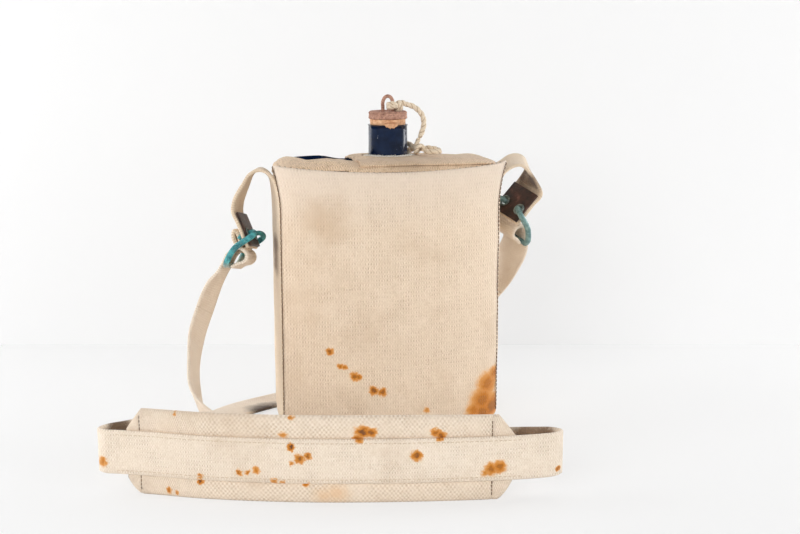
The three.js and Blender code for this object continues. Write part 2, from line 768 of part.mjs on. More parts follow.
// Crowned over its height, its rim drawn in and its bands puffed up above and below the strap
function padSurface(side) {
  return (along, up) => {
    const t = padStart + along * (padEnd - padStart);
    const spot = padLine.getPoint(t);
    const way = padLine.getTangent(t);
    const back = vec(way.y, -way.x, 0);
    const fromEnd = Math.min(along, 1 - along) * padLength;
    const half = padHeight / 2 - Math.max(0, padCorner - fromEnd);
    const height = (up * 2 - 1) * half;
    const rim = Math.min(1, (half - Math.abs(height)) / padRim, fromEnd / padRim);
    const thickness = THREE.MathUtils.lerp(padEdge, padThickness, Math.sqrt(rim * (2 - rim)));
    const band = Math.max(0, Math.abs(height) - bandStart) / (padHeight / 2 - bandStart);
    const puff = side < 0 ? bandPuff * Math.sin(Math.PI * band) : 0;
    const out = padLead + side * (thickness / 2) - puff;
    return vec(spot.x + back.x * out, spot.y + back.y * out, padHeight / 2 + seatGap / 3 + height);
  };
}
add('shoulder_pad', sheet(padSurface(1), padSurface(-1), padRows, padColumns), canvas, 0.95, 0);

// Cord: knotted on the wire eye, down to a knot on the loop that goes round the neck
const eyeKnotSize = vec(3.7, 3.3, 3.4);
const sideKnotSize = vec(2.7, 2.5, 1.9);
const loopRadius = neckRadius + cordRadius + 0.4;
const loopLow = shoulderTop + cordRadius + seatGap + 0.2;
const loopOver = flapCrown + cordRadius + 2 * seatGap;
const strandTop = loopOver + 2.4;

function knot(place, size) {
  const lump = new THREE.SphereGeometry(1, 12, 8);
  lump.scale(size.x, size.y, size.z);
  lump.translate(place.x, place.y, place.z);
  return welded(lump);
}

const eyeKnotPlace = vec(eyeHalfSpan + 3.4, -0.4, capTop + 3.9);
const knotClear = bar(vec(eyeHalfSpan, 0, capTop + 3), vec(0, 0, 1), eyeWire + seatGap, 24, 12);
add('cord_eye_knot', cut(knot(eyeKnotPlace, eyeKnotSize), [knotClear]), string, 0.95, 0);

const sideKnotPlace = vec(21.4, -1, strandTop + cordRadius + sideKnotSize.z + 0.2);
add('cord_side_knot', knot(sideKnotPlace, sideKnotSize), string, 0.95, 0);

const cordStart = vec(eyeKnotPlace.x + eyeKnotSize.x + 0.7, -0.6, eyeKnotPlace.z + 0.7);
const cordEnd = vec(sideKnotPlace.x + 0.2, -1, sideKnotPlace.z + sideKnotSize.z + 1);
const cordBetween = [
  [17.2, -0.8, 0.08],
  [21.2, -1, 0.21],
  [23.8, -1.2, 0.37],
  [24.6, -1.3, 0.6],
  [23.3, -1.2, 0.83],
];
const cordPoints = [
  cordStart,
  ...cordBetween.map(([x, y, fall]) => vec(x, y, THREE.MathUtils.lerp(cordStart.z, cordEnd.z, fall))),
  cordEnd,
];
add('cord_run', tube(cordPoints, cordRadius, 7, 20), string, 0.95, 0);

// The loop lies low round the neck, as [degrees, lift], and rises behind it
const aroundNeck = [
  [62, 9.8], [95, 8], [130, 3.6], [165, 0.4], [195, 0], [230, 0],
  [265, 0], [298, 0], [330, 0.2], [0, 1.2], [20, 3.6],
];
const aboveFlap = (x, y) => vec(x, y, flapHeight(x, y) + cordRadius + 2 * seatGap);
const loopPoints = [
  ...aroundNeck.map(([degrees, lift]) => {
    const angle = THREE.MathUtils.degToRad(degrees);
    return vec(loopRadius * Math.cos(angle), loopRadius * Math.sin(angle), loopLow + lift);
  }),
  vec(17, 7.6, loopOver + 0.6),
  vec(23, 6.2, loopOver + 1.2),
  vec(30, 4.4, loopOver + 1.6),
  vec(34.6, 1.2, loopOver + 0.8),
  aboveFlap(35.4, -2),
  aboveFlap(32.6, -4.8),
  aboveFlap(27, -4.4),
  vec(20.6, -0.9, strandTop - 0.6),
  vec(14.6, 7.2, strandTop + 2.6),
];
add('cord_neck_loop', tube(loopPoints, cordRadius, 6, 54, true), string, 0.95, 0);

export default group;
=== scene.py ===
import math
import random
import bmesh
import bpy
import numpy as np
from mathutils import Matrix, Vector, noise


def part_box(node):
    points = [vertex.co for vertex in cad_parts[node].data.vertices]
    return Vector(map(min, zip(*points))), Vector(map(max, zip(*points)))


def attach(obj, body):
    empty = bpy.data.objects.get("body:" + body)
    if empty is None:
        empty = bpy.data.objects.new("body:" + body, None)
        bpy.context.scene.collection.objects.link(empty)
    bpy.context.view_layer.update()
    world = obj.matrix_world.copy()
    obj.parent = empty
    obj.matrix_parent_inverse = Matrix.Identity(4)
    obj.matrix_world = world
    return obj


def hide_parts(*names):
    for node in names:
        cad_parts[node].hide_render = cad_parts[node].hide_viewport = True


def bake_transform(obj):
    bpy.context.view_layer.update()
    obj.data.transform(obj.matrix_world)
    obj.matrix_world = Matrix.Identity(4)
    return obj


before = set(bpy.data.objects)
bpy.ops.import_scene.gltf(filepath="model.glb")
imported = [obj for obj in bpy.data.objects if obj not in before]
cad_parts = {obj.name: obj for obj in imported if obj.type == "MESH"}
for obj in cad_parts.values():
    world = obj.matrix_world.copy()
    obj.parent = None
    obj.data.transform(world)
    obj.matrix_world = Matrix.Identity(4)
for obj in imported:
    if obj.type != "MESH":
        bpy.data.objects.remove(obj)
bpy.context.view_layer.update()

# Bottle and stopper, in metres
SEAT_GAP = 0.0003
COVER_GAP = 0.0006
BOTTLE_HALF_WIDTH = 0.0745
BOTTLE_HALF_DEPTH = 0.034
BOTTLE_POWER = 3
BOW_DEPTH = 0.012
BOTTLE_WALL = 0.001
BASE_ROUNDING = 0.012
WALL_TOP = 0.173
SHOULDER_TOP = 0.1832
SHOULDER_POWER = 3.5
FULL_SHOULDER = 0.1852
FULL_POWER = 6
# How far left of the neck the shoulder begins to stand fuller, and where it is full
FULL_RUN = (0.028, 0.044)
NECK_RADIUS = 0.0131
NECK_WALL = 0.001
LIP_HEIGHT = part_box("bottle_neck")[1][2] - 0.0009
LIP_BEAD = 0.0004
CAP_LOW, CAP_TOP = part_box("stopper_cap")[0][2] - 0.0005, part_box("stopper_cap")[1][2]
CAP_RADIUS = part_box("stopper_cap")[1][0]
CORK_LOW, CORK_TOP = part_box("stopper_cork")[0][2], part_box("stopper_cork")[1][2]
CORK_RADIUS = 0.0118
CAP_PLATE = 0.001
# The cap's rounded shoulder, as (in from its rim, down from its top)
CAP_SHOULDER = [
    (0, 0.0014), (0.0002, 0.0008), (0.0007, 0.0003), (0.0014, 0), (0.0022, 0.0002), (0.0029, 0.0006),
]
EYE_WIRE = 0.0012
EYE_HALF_SPAN = 0.0034
EYE_RISE = 0.011
EYE_FOOT = 0.0036

# Cover, in metres
WEB = 0.0022
EDGE_FULLNESS = 0.42
COVER_POWER = 6
BOTTOM_ROUNDING = 0.012
CORNER_LIFT = 0.0042
BACK_DROP = 0.004
FLARE_START = 0.150
FLARE_SHARE = 0.05
GUSSET_BULGE = 0.002
FLAP_THICKNESS = 0.0014
FLAP_POWER = 3.2
FLAP_STEP = -0.024
FRONT_FLAP_REAR = -0.012
FRONT_FLAP_STRIP = 0.014
FLAP_SAG = 0.0017
NECK_LIP = 0.0008
EDGE_SAG = 0.0016
FLAP_TURN_OUT = 0.0021
FLAP_TURN_DROP = 0.0062
INSIDE_WIDTH = BOTTLE_HALF_WIDTH + COVER_GAP
INSIDE_DEPTH = BOTTLE_HALF_DEPTH + COVER_GAP
COVER_HALF_WIDTH = INSIDE_WIDTH + WEB
COVER_HALF_DEPTH = INSIDE_DEPTH + WEB
SEAM_X = COVER_HALF_WIDTH - 0.0023
COVER_TOP = WALL_TOP + 0.005
FLAP_EDGE = COVER_TOP - 0.0007
FLAP_CROWN = SHOULDER_TOP + 2 * FLAP_THICKNESS + 2 * SEAT_GAP

# Clasps, strap, pad and cord, in metres
TAB_HALF_WIDTH = 0.0135
LEATHER = 0.0016
LEATHER_ABOVE = 0.017
TAB_BELOW_EYELETS = 0.0085
EYELET_HALF_SPACING = 0.008
EYELET_BORE = 0.003
EYELET_BARREL = 0.0005
EYELET_RIM = 0.0043
FLANGE = 0.0005
HOOK_WIRE = 0.0017
HOOK_LENGTH = 0.023
STRAP_WIDTH = 0.0254
STRAP = 0.002
HOOK_HALF_WIDTH = STRAP_WIDTH / 2 + HOOK_WIRE + 0.0028
PAD_HEIGHT = 0.052
PAD = 0.0045
PAD_EDGE = 0.0024
PAD_RIM = 0.006
PAD_TAPER = 0.0012
PAD_FOLD = (0.0235, 0.019)
BAND_PUFF = 0.00066
CREASE_DEPTH = 0.0011
CREASE_WIDTH = 0.0008
PAD_MIDDLE = PAD_HEIGHT / 2
CORD_RADIUS = 0.0018
CORD_PITCH = 0.0085
CORD_STRANDS = 2

# Where the photograph was taken from, round from straight in front
AZIMUTH = math.radians(-11.5)


def vec(x, y, z):
    return Vector((x, y, z))


def smooth(value, low, high):
    t = min(1.0, max(0.0, (value - low) / (high - low)))
    return t * t * (3 - 2 * t)


def mix(low, high, share):
    return low + (high - low) * share


def polar(radius, angle, z):
    return vec(radius * math.cos(angle), radius * math.sin(angle), z)


# Camera at the photograph's viewing angle
def make_camera():
    elevation, distance = math.radians(10.8), 0.845
    target = vec(0.0084, 0, 0.1092)
    back = polar(math.cos(elevation), AZIMUTH - math.pi / 2, math.sin(elevation))
    data = bpy.data.cameras.new("camera")
    data.lens, data.sensor_width, data.sensor_fit = 55, 36, "HORIZONTAL"
    data.clip_start = 0.01
    camera = bpy.data.objects.new("camera", data)
    camera.location = target + back * distance
    camera.rotation_mode = "QUATERNION"
    camera.rotation_quaternion = (-back).to_track_quat("-Z", "Y")
    bpy.context.collection.objects.link(camera)
    bpy.context.scene.camera = camera


make_camera()


# Curves and meshes
def spline(points, share, closed=False, even=False):
    """Point at a share of a Catmull-Rom curve, centripetal unless even."""
    spans = len(points) if closed else len(points) - 1
    place = min(max(share, 0.0), 1.0) * spans
    first = min(int(place), spans - 1)
    w = place - first

    def at(i):
        if closed:
            return points[i % len(points)]
        if i < 0:
            return 2 * points[0] - points[1]
        if i >= len(points):
            return 2 * points[-1] - points[-2]
        return points[i]

    p0, p1, p2, p3 = (at(first + k) for k in (-1, 0, 1, 2))
    if even:
        t1, t2 = (p2 - p0) / 2, (p3 - p1) / 2
    else:
        d0, d1, d2 = (math.sqrt(max((b - a).length, 1e-9)) for a, b in ((p0, p1), (p1, p2), (p2, p3)))
        t1 = ((p1 - p0) / d0 - (p2 - p0) / (d0 + d1) + (p2 - p1) / d1) * d1
        t2 = ((p2 - p1) / d1 - (p3 - p1) / (d1 + d2) + (p3 - p2) / d2) * d1
    cubic = 2 * p1 - 2 * p2 + t1 + t2
    square = -3 * p1 + 3 * p2 - 2 * t1 - t2
    return ((cubic * w + square) * w + t1) * w + p1


def curve(points, steps, closed=False):
    count = steps if closed else steps + 1
    return [spline(points, i / steps, closed) for i in range(count)]


def evenly(path, spacing):
    """The path again, with points at an even spacing along it."""
    lengths = np.cumsum([0] + [(b - a).length for a, b in zip(path, path[1:])])
    count = max(2, round(lengths[-1] / spacing))
    rows = np.array(path)
    places = np.linspace(0, lengths[-1], count + 1)
    return [Vector(np.array([np.interp(s, lengths, rows[:, k]) for k in range(3)])) for s in places]


def path_length(path):
    return sum((b - a).length for a, b in zip(path, path[1:]))


def grid_faces(rows, columns, wrap=False, ring=False):
    """Faces between a grid's points, row by row; wrap closes its columns and ring its rows."""
    faces = []
    for r in range(rows if ring else rows - 1):
        n = (r + 1) % rows
        for c in range(columns if wrap else columns - 1):
            j = (c + 1) % columns
            faces.append((r * columns + c, r * columns + j, n * columns + j, n * columns + c))
    return faces


def mesh_object(name, points, faces, uv=None, closed=True):
    mesh = bpy.data.meshes.new(name)
    mesh.from_pydata([tuple(p) for p in points], [], faces)
    if uv is not None:
        layer = mesh.uv_layers.new(name="cloth")
        for loop in mesh.loops:
            layer.data[loop.index].uv = uv[loop.vertex_index]
    if closed:
        work = bmesh.new()
        work.from_mesh(mesh)
        bmesh.ops.recalc_face_normals(work, faces=work.faces)
        work.to_mesh(mesh)
        work.free()
    mesh.polygons.foreach_set("use_smooth", [True] * len(mesh.polygons))
    obj = bpy.data.objects.new(name, mesh)
    bpy.context.collection.objects.link(obj)
    return obj


def tube_parts(path, reach, sides):
    """Points and faces of a tube; reach(share, angle) is its radius."""
    last = len(path) - 1
    points = []
    side = None
    for i, p in enumerate(path):
        along = (path[min(last, i + 1)] - path[max(0, i - 1)]).normalized()
        if side is None:
            side = along.orthogonal().normalized()
        side = (side - along * side.dot(along)).normalized()
        other = along.cross(side)
        for k in range(sides):
            angle = 2 * math.pi * k / sides
            around = side * math.cos(angle) + other * math.sin(angle)
            points.append(p + around * reach(i / last, angle))
    faces = grid_faces(len(path), sides, wrap=True)
    faces += [tuple(range(sides)), tuple(range(last * sides, len(points)))]
    return points, faces


def tubes(name, runs, reach, sides):
    """Many separate tubes in one piece."""
    points, faces = [], []
    for run in runs:
        more, quads = tube_parts(run, reach, sides)
        faces += [tuple(len(points) + i for i in face) for face in quads]
        points += more
    return mesh_object(name, points, faces)


def rope(name, path, radius):
    """A twisted cord: one tube whose section has a lobe for each strand."""
    path = evenly(path, 0.0005)
    turns, sides, last = path_length(path) / CORD_PITCH, 20, len(path) - 1

    def strand(share, angle):
        return abs(math.cos(CORD_STRANDS / 2 * (angle - 2 * math.pi * turns * share)))

    def reach(share, angle):
        end = min(share, 1 - share) * last / 4
        return radius * (0.82 + 0.24 * strand(share, angle)) * math.sqrt(min(1.0, 0.2 + end))

    # The cloth map holds how near each point lies to a strand's crest, for the painted shade in the hollows.
    lobes = []
    for i in range(last + 1):
        lobes += [(strand(i / last, 2 * math.pi * k / sides), i / last) for k in range(sides)]
    return mesh_object(name, *tube_parts(path, reach, sides), lobes)


def lathe(name, profile, segments, wobble=None):
    """A closed profile of (radius, height) turned upright; wobble(angle, height) adds to the radius."""
    points = []
    for radius, z in profile:
        for k in range(segments):
            angle = 2 * math.pi * k / segments
            r = radius + (wobble(angle, z) if wobble and radius > 0 else 0)
            points.append(polar(r, angle, z))
    obj = mesh_object(name, points, grid_faces(len(profile), segments, wrap=True, ring=True))
    weld(obj)
    return obj


def weld(obj):
    work = bmesh.new()
    work.from_mesh(obj.data)
    bmesh.ops.remove_doubles(work, verts=work.verts, dist=1e-6)
    bmesh.ops.dissolve_degenerate(work, edges=work.edges, dist=1e-7)
    bmesh.ops.recalc_face_normals(work, faces=work.faces)
    work.to_mesh(obj.data)
    work.free()


def unit_rows(rows):
    return rows / np.maximum(np.linalg.norm(rows, axis=2, keepdims=True), 1e-12)


def grid_normals(grid, wrap):
    down = np.gradient(grid, axis=0)
    across = (np.roll(grid, -1, 1) - np.roll(grid, 1, 1)) / 2 if wrap else np.gradient(grid, axis=1)
    return down, across, unit_rows(np.cross(down, across))


def rumpled(grid, layers, wrap=False):
    """Pushes a grid of points along its normals by smooth noise; layers are (amount, scale, seed)."""
    normals = grid_normals(grid, wrap)[2]
    out = grid.copy()
    for amount, scale, seed in layers:
        for r in range(grid.shape[0]):
            for c in range(grid.shape[1]):
                place = Vector(grid[r, c]) * scale + vec(seed, 2 * seed, 3 * seed)
                out[r, c] += normals[r, c] * amount * noise.noise(place)
    return out


def rim_places(rows, columns, wrap):
    """Places along a grid's edge: one ring, or two where its columns close."""
    top = [(0, c) for c in range(columns)]
    foot = [(rows - 1, c) for c in range(columns)]
    if wrap:
        return [top, foot]
    right = [(r, columns - 1) for r in range(1, rows - 1)]
    left = [(r, 0) for r in range(rows - 2, 0, -1)]
    return [top + right + foot[::-1] + left]


def cloth(name, grid, thickness, uv, wrap=False):
    """A closed sheet of cloth with rounded edges round a grid of middle points."""
    rows, columns = grid.shape[:2]
    cell = rows * columns
    down, across, normals = grid_normals(grid, wrap)
    outward = np.zeros_like(grid)
    outward[0] -= down[0]
    outward[-1] += down[-1]
    if not wrap:
        outward[:, 0] -= across[:, 0]
        outward[:, -1] += across[:, -1]
    edge = grid + unit_rows(outward) * thickness * EDGE_FULLNESS
    sides = [grid + normals * thickness / 2, grid - normals * thickness / 2]
    points = [p for side in sides for p in side.reshape(-1, 3)]
    maps = list(uv.reshape(-1, 2)) * 2
    faces = []
    for a, e, d, b in grid_faces(rows, columns, wrap):
        faces += [(a, b, d, e), (cell + a, cell + e, cell + d, cell + b)]
    for rim in rim_places(rows, columns, wrap):
        start = len(points)
        points += [edge[place] for place in rim]
        maps += [uv[place] for place in rim]
        ids = [r * columns + c for r, c in rim]
        for i, a in enumerate(ids):
            j = (i + 1) % len(ids)
            b = ids[j]
            faces += [(a, b, start + j, start + i), (start + i, start + j, cell + b, cell + a)]
    return mesh_object(name, points, faces, maps)


def ribbon(stations, half_widths, bulges, columns):
    """A grid across a run of (centre, width direction) stations, and its cloth map in metres."""
    rows = len(stations)
    centres = [s[0] for s in stations]
    grid = np.zeros((rows, columns + 1, 3))
    uv = np.zeros((rows, columns + 1, 2))
    length = 0.0
    for i, (centre, turn) in enumerate(stations):
        along = (centres[min(rows - 1, i + 1)] - centres[max(0, i - 1)]).normalized()
        across = (turn - along * turn.dot(along)).normalized()
        face = along.cross(across)
        if i:
            length += (centre - centres[i - 1]).length
        for c in range(columns + 1):
            place = 2 * c / columns - 1
            point = centre + across * place * half_widths[i] + face * bulges[i] * (1 - place * place)
            grid[i, c] = point
            uv[i, c] = (length, place * half_widths[i])
    return grid, uv


def stitches(name, path, lift, pitch, share, radius):
    """A row of short thread stitches along a path; lift(point) is the way out of the cloth."""
    path = evenly(path, pitch)
    runs = []
    for a, b in zip(path, path[1:]):
        out = lift(a) * radius
        step = (b - a) * share
        runs.append([a - out, a + step * 0.2 + out * 0.7, a + step * 0.8 + out * 0.7, a + step - out])
    return tubes(name, runs, lambda share, angle: radius, 5)


def finish_piece(obj, material, body="carrier", replaced=()):
    obj.data.materials.clear()
    obj.data.materials.append(material)
    if replaced:
        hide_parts(*replaced)
    if body:
        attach(obj, body)


def bore(obj, places, axis, radius):
    """Cuts round holes through a piece."""
    reach = axis * 0.008
    for place in places:
        drill = mesh_object("drill", *tube_parts([place - reach, place + reach], lambda s, angle: radius, 24))
        modifier = obj.modifiers.new("bore", "BOOLEAN")
        modifier.operation, modifier.object, modifier.solver = "DIFFERENCE", drill, "EXACT"
        shaped = obj.evaluated_get(bpy.context.evaluated_depsgraph_get())
        mesh = bpy.data.meshes.new_from_object(shaped)
        obj.modifiers.clear()
        obj.data = mesh
        bpy.data.objects.remove(drill)


# Node materials
def tone(red, green, blue):
    """A colour from its 0 to 255 values, as the linear colour that the shaders take."""
    def linear(value):
        c = value / 255
        return c / 12.92 if c <= 0.04045 else ((c + 0.055) / 1.055) ** 2.4

    return (linear(red), linear(green), linear(blue), 1.0)


def add_node(tree, kind, *values, out=0, named=None, **settings):
    """Adds a node with its inputs set or linked, in order or by name, and gives one of its outputs."""
    node = tree.nodes.new("ShaderNode" + kind)
    for key, value in settings.items():
        setattr(node, key, value)
    given = list(zip(node.inputs, values))
    given += [(node.inputs[key], value) for key, value in (named or {}).items()]
    for socket, value in given:
        if isinstance(value, bpy.types.NodeSocket):
            tree.links.new(value, socket)
        else:
            socket.default_value = value
    return node.outputs[out]


class Graph:
    """One material, built a node at a time; each call gives the new node's output."""

    def __init__(self, name, roughness, **constants):
        self.material = bpy.data.materials.new(name)
        self.material.use_nodes = True
        self.tree = self.material.node_tree
        self.shader = self.tree.nodes["Principled BSDF"]
        self.shader.inputs["Roughness"].default_value = roughness
        for key, value in constants.items():
            self.shader.inputs[key.replace("_", " ")].default_value = value

    def add(self, kind, *values, **options):
        return add_node(self.tree, kind, *values, **options)

    def math(self, operation, *values):
        return self.add("Math", *values, operation=operation)

    def vector(self, operation, *values, out=0):
        return self.add("VectorMath", *values, out=out, operation=operation)

    def ramp(self, value, low, high, bottom=0.0, top=1.0):
        return self.add("MapRange", value, low, high, bottom, top)

    def blend(self, share, low, high):
        return self.add("Mix", out=2, named={0: share, 6: low, 7: high}, data_type="RGBA")

    def tint(self, colour, mask, low, high, shade, share=1.0):
        """A colour that turns to a shade, up to a share of it, as the mask goes from low to high."""
        return self.blend(self.ramp(mask, low, high, 0.0, share), colour, shade)

    def place(self):
        return self.add("TexCoord", out=3)

    def axis(self, place, index):
        return self.add("SeparateXYZ", place, out=index)

    def cloth_map(self):
        return self.add("UVMap", uv_map="cloth")

    def noise(self, place, scale, detail=3.0, roughness=0.55, out=0):
        named = {"Vector": place, "Scale": scale, "Detail": detail, "Roughness": roughness}
        return self.add("TexNoise", out=out, named=named)

    def cells(self, place, scale):
        return self.add("TexVoronoi", named={"Vector": place, "Scale": scale})

    def ragged(self, place, scale, amount):
        """A place on the cloth map, moved about by noise."""
        away = self.vector("ADD", self.noise(place, scale, out=1), (-0.5, -0.5, -0.5))
        return self.vector("ADD", place, self.vector("MULTIPLY", away, (amount, amount, 0)))

    def link(self, socket, name):
        self.tree.links.new(socket, self.shader.inputs[name])

    def done(self, colour, relief, distance, strength):
        named = {"Strength": strength, "Distance": distance, "Height": relief}
        self.link(colour, "Base Color")
        self.link(self.add("Bump", named=named), "Normal")
        return self.material


def weave(graph, pitch, ribs):
    """Height of a woven surface from 0 to 1; ribs is how far its rows run together."""
    place = graph.cloth_map()
    moved = graph.ragged(place, 200, pitch * 1.3)
    a = graph.math("SINE", graph.math("MULTIPLY", graph.axis(moved, 0), math.pi / pitch))
    b = graph.math("SINE", graph.math("MULTIPLY", graph.axis(moved, 1), 0.64 * math.pi / pitch))
    knots = graph.math("MULTIPLY", graph.math("MULTIPLY", a, b), 1 - ribs)
    rows = graph.math("MULTIPLY_ADD", a, ribs, knots)
    worn = graph.ramp(graph.noise(place, 85), 0.36, 0.64, 0.25, 1.0)
    return graph.math("MULTIPLY_ADD", graph.math("MULTIPLY", rows, worn), 0.5, 0.5)


def stained(graph, colour, spots):
    """Rust stains over a colour; spots are (u, v, radius, strength) on the cloth map."""
    moved = graph.ragged(graph.cloth_map(), 420, 0.0044)
    mask = None
    for u, v, radius, strength in spots:
        away = graph.vector("DISTANCE", moved, (u, v, 0), out=1)
        spot = graph.ramp(away, radius, radius * 0.2, 0.0, strength)
        mask = spot if mask is None else graph.math("MAXIMUM", mask, spot)
    rust = graph.add("ValToRGB", mask)
    stops = rust.node.color_ramp.elements
    stops[0].color, stops[1].color = tone(240, 204, 156), tone(104, 64, 40)
    for position, shade in ((0.3, tone(226, 163, 90)), (0.7, tone(199, 120, 28))):
        stops.new(position).color = shade
    return graph.tint(colour, mask, 0.02, 0.4, rust)


def woven(name, light, gap, pitch, ribs=0.2, spots=(), soil_and_shade=(), fade=None, uneven=0.4):
    """Coarse undyed cloth with slubs, rust stains, and soil and painted shade, given as (place, radius,
    shade, share).
    """
    graph = Graph(name, 0.93, Sheen_Weight=0.15, Sheen_Roughness=0.6)
    height = weave(graph, pitch, ribs)
    place = graph.place()
    slubs = graph.noise(place, 900, 2.0)
    thread = graph.math("MULTIPLY_ADD", slubs, 0.5, graph.math("MULTIPLY", height, 0.75))
    colour = graph.tint(gap, thread, 0.25, 0.85, light)
    cloud = graph.noise(place, 26, 5.0, 0.6)
    colour = graph.tint(colour, cloud, 0.5, 0.8, tone(204, 176, 146), 0.55)
    pale = graph.noise(graph.vector("ADD", place, (3.1, 1.7, 0.4)), 60, 4.0, 0.6)
    colour = graph.tint(colour, pale, 0.5, 0.75, light, 0.35)
    mottle = graph.noise(place, 380, 4.0, 0.7)
    colour = graph.tint(colour, mottle, 0.5, 0.72, gap, uneven)
    if fade:
        low, high, shade = fade
        colour = graph.tint(colour, graph.axis(place, 2), low, high, shade, 0.7)
    # Each patch darkens the cloth: some are soil, others painted shade in folds and hollows.
    for spot, radius, shade, share in soil_and_shade:
        away = graph.math("MULTIPLY_ADD", pale, radius, graph.vector("DISTANCE", place, spot, out=1))
        near = graph.ramp(away, radius * 1.5, radius * 0.75, 0.0, share)
        patchy = graph.math("MULTIPLY", near, graph.ramp(slubs, 0.2, 0.55, 0.6, 1.0))
        colour = graph.blend(patchy, colour, shade)
    if spots:
        colour = stained(graph, colour, spots)
    return graph.done(colour, graph.math("MULTIPLY_ADD", slubs, 0.5, height), 0.0006, 0.75)


def enamel_material(name, gloss, smoothest, roughest):
    graph = Graph(name, 0.12, Specular_IOR_Level=gloss)
    place = graph.place()
    mottle = graph.noise(place, 120, 4.0)
    colour = graph.tint(tone(8, 20, 42), mottle, 0.35, 0.7, tone(17, 36, 66))
    specks = graph.ramp(graph.cells(place, 420.0), 0.22, 0.12)
    chip = graph.math("MULTIPLY", specks, graph.ramp(graph.noise(place, 160, 2.0), 0.6, 0.66))
    colour = graph.blend(chip, colour, tone(150, 158, 170))
    rim = graph.ramp(graph.axis(place, 2), LIP_HEIGHT - 0.0014, LIP_HEIGHT - 0.0004)
    wear = graph.math("MULTIPLY", rim, graph.ramp(mottle, 0.4, 0.6))
    colour = graph.blend(wear, colour, tone(58, 48, 44))
    graph.link(graph.ramp(mottle, 0.3, 0.8, smoothest, roughest), "Roughness")
    return graph.done(colour, graph.noise(place, 200, 2.0), 0.0004, 0.25)


def cork_material():
    graph = Graph("cork", 0.9)
    place = graph.place()
    grain = graph.noise(place, 380, 5.0, 0.65)
    colour = graph.tint(tone(196, 138, 100), grain, 0.35, 0.65, tone(236, 192, 152))
    pits = graph.ramp(graph.cells(place, 330.0), 0.25, 0.1)
    deep = graph.math("MULTIPLY", pits, graph.ramp(graph.noise(place, 190), 0.5, 0.6))
    colour = graph.blend(deep, colour, tone(70, 40, 26))
    return graph.done(colour, graph.math("SUBTRACT", grain, deep), 0.0008, 0.8)


def rust_material():
    graph = Graph("rusted_steel", 0.82, Metallic=0.15)
    place = graph.place()
    coarse = graph.noise(place, 240, 5.0, 0.65)
    fine = graph.noise(place, 1100, 3.0, 0.6)
    colour = graph.tint(tone(138, 93, 77), coarse, 0.36, 0.64, tone(206, 161, 139))
    colour = graph.tint(colour, fine, 0.5, 0.75, tone(212, 176, 156), 0.7)
    colour = graph.tint(colour, fine, 0.42, 0.28, tone(84, 52, 42))
    return graph.done(colour, graph.math("ADD", coarse, fine), 0.0005, 0.8)


def verdigris_material(name, crust, deep, bare, pale_below=None):
    graph = Graph(name, 0.6, Metallic=0.2)
    place = graph.place()
    coarse = graph.noise(place, 300, 4.0, 0.6)
    fine = graph.noise(place, 1300, 3.0, 0.6)
    colour = graph.tint(deep, coarse, 0.38, 0.62, crust)
    colour = graph.tint(colour, fine, 0.52, 0.72, tone(168, 206, 204), 0.5)
    colour = graph.tint(colour, coarse, 0.68, 0.78, bare)
    if pale_below:
        start, full = pale_below + 0.002, pale_below - 0.002
        colour = graph.tint(colour, graph.axis(place, 2), start, full, tone(206, 208, 196), 0.75)
    graph.link(graph.ramp(coarse, 0.3, 0.8, 0.72, 0.42), "Roughness")
    return graph.done(colour, graph.math("ADD", coarse, fine), 0.0004, 0.7)


def leather_material(name, body, scuff):
    graph = Graph(name, 0.55)
    place = graph.place()
    coarse = graph.noise(place, 150, 5.0, 0.6)
    colour = graph.tint(tone(40, 28, 24), coarse, 0.35, 0.7, body)
    colour = graph.tint(colour, coarse, 0.58, 0.8, scuff, 0.8)
    graph.link(graph.ramp(coarse, 0.3, 0.8, 0.42, 0.75), "Roughness")
    pores = graph.cells(place, 900.0)
    return graph.done(colour, graph.math("ADD", pores, coarse), 0.0004, 0.6)


def string_material(name, light, dark, painted_groove_shade=None):
    """Thread or string; the last colour is painted shade in the hollows between the strands of a rope."""
    graph = Graph(name, 0.95, Sheen_Weight=0.2)
    place = graph.place()
    fibre = graph.noise(place, 1600, 3.0, 0.6)
    colour = graph.tint(dark, fibre, 0.3, 0.7, light)
    colour = graph.tint(colour, graph.noise(place, 160), 0.5, 0.8, dark, 0.5)
    # Painted shade in the hollows between the rope's strands.
    if painted_groove_shade:
        colour = graph.tint(colour, graph.axis(graph.cloth_map(), 0), 0.4, 0.05, painted_groove_shade)
    return graph.done(colour, fibre, 0.0005, 0.8)


ENAMEL = enamel_material("neck_enamel", 0.22, 0.07, 0.2)
BODY_ENAMEL = enamel_material("body_enamel", 0.0, 0.3, 0.45)
CORK = cork_material()
RUST = rust_material()
TEAL = verdigris_material(
    "bright_verdigris", tone(86, 180, 184), tone(46, 116, 124), tone(120, 116, 100), pale_below=0.1165,
)
GREY_TEAL = verdigris_material(
    "dull_verdigris", tone(138, 166, 162), tone(92, 124, 122), tone(140, 128, 110),
)
EYELET_BRASS = verdigris_material(
    "eyelet_brass", tone(150, 158, 150), tone(84, 96, 92), tone(176, 160, 132),
)
LEFT_LEATHER = leather_material("dark_leather", tone(84, 62, 52), tone(128, 96, 80))
RIGHT_LEATHER = leather_material("red_leather", tone(92, 62, 52), tone(146, 104, 88))
# The string's last colour is painted shade between its strands.
STRING = string_material("natural_string", tone(248, 233, 211), tone(218, 197, 168), tone(176, 148, 116))
# Thread for the left seam, which also stands for the shade in the gap along that seam.
SEAM_THREAD_AND_GAP_SHADE = string_material("seam_thread_and_gap_shade", tone(146, 116, 86), tone(96, 72, 52))
BROWN_THREAD = string_material("brown_thread", tone(138, 110, 84), tone(92, 70, 52))
PALE_THREAD = string_material("pale_thread", tone(236, 217, 192), tone(206, 182, 154))


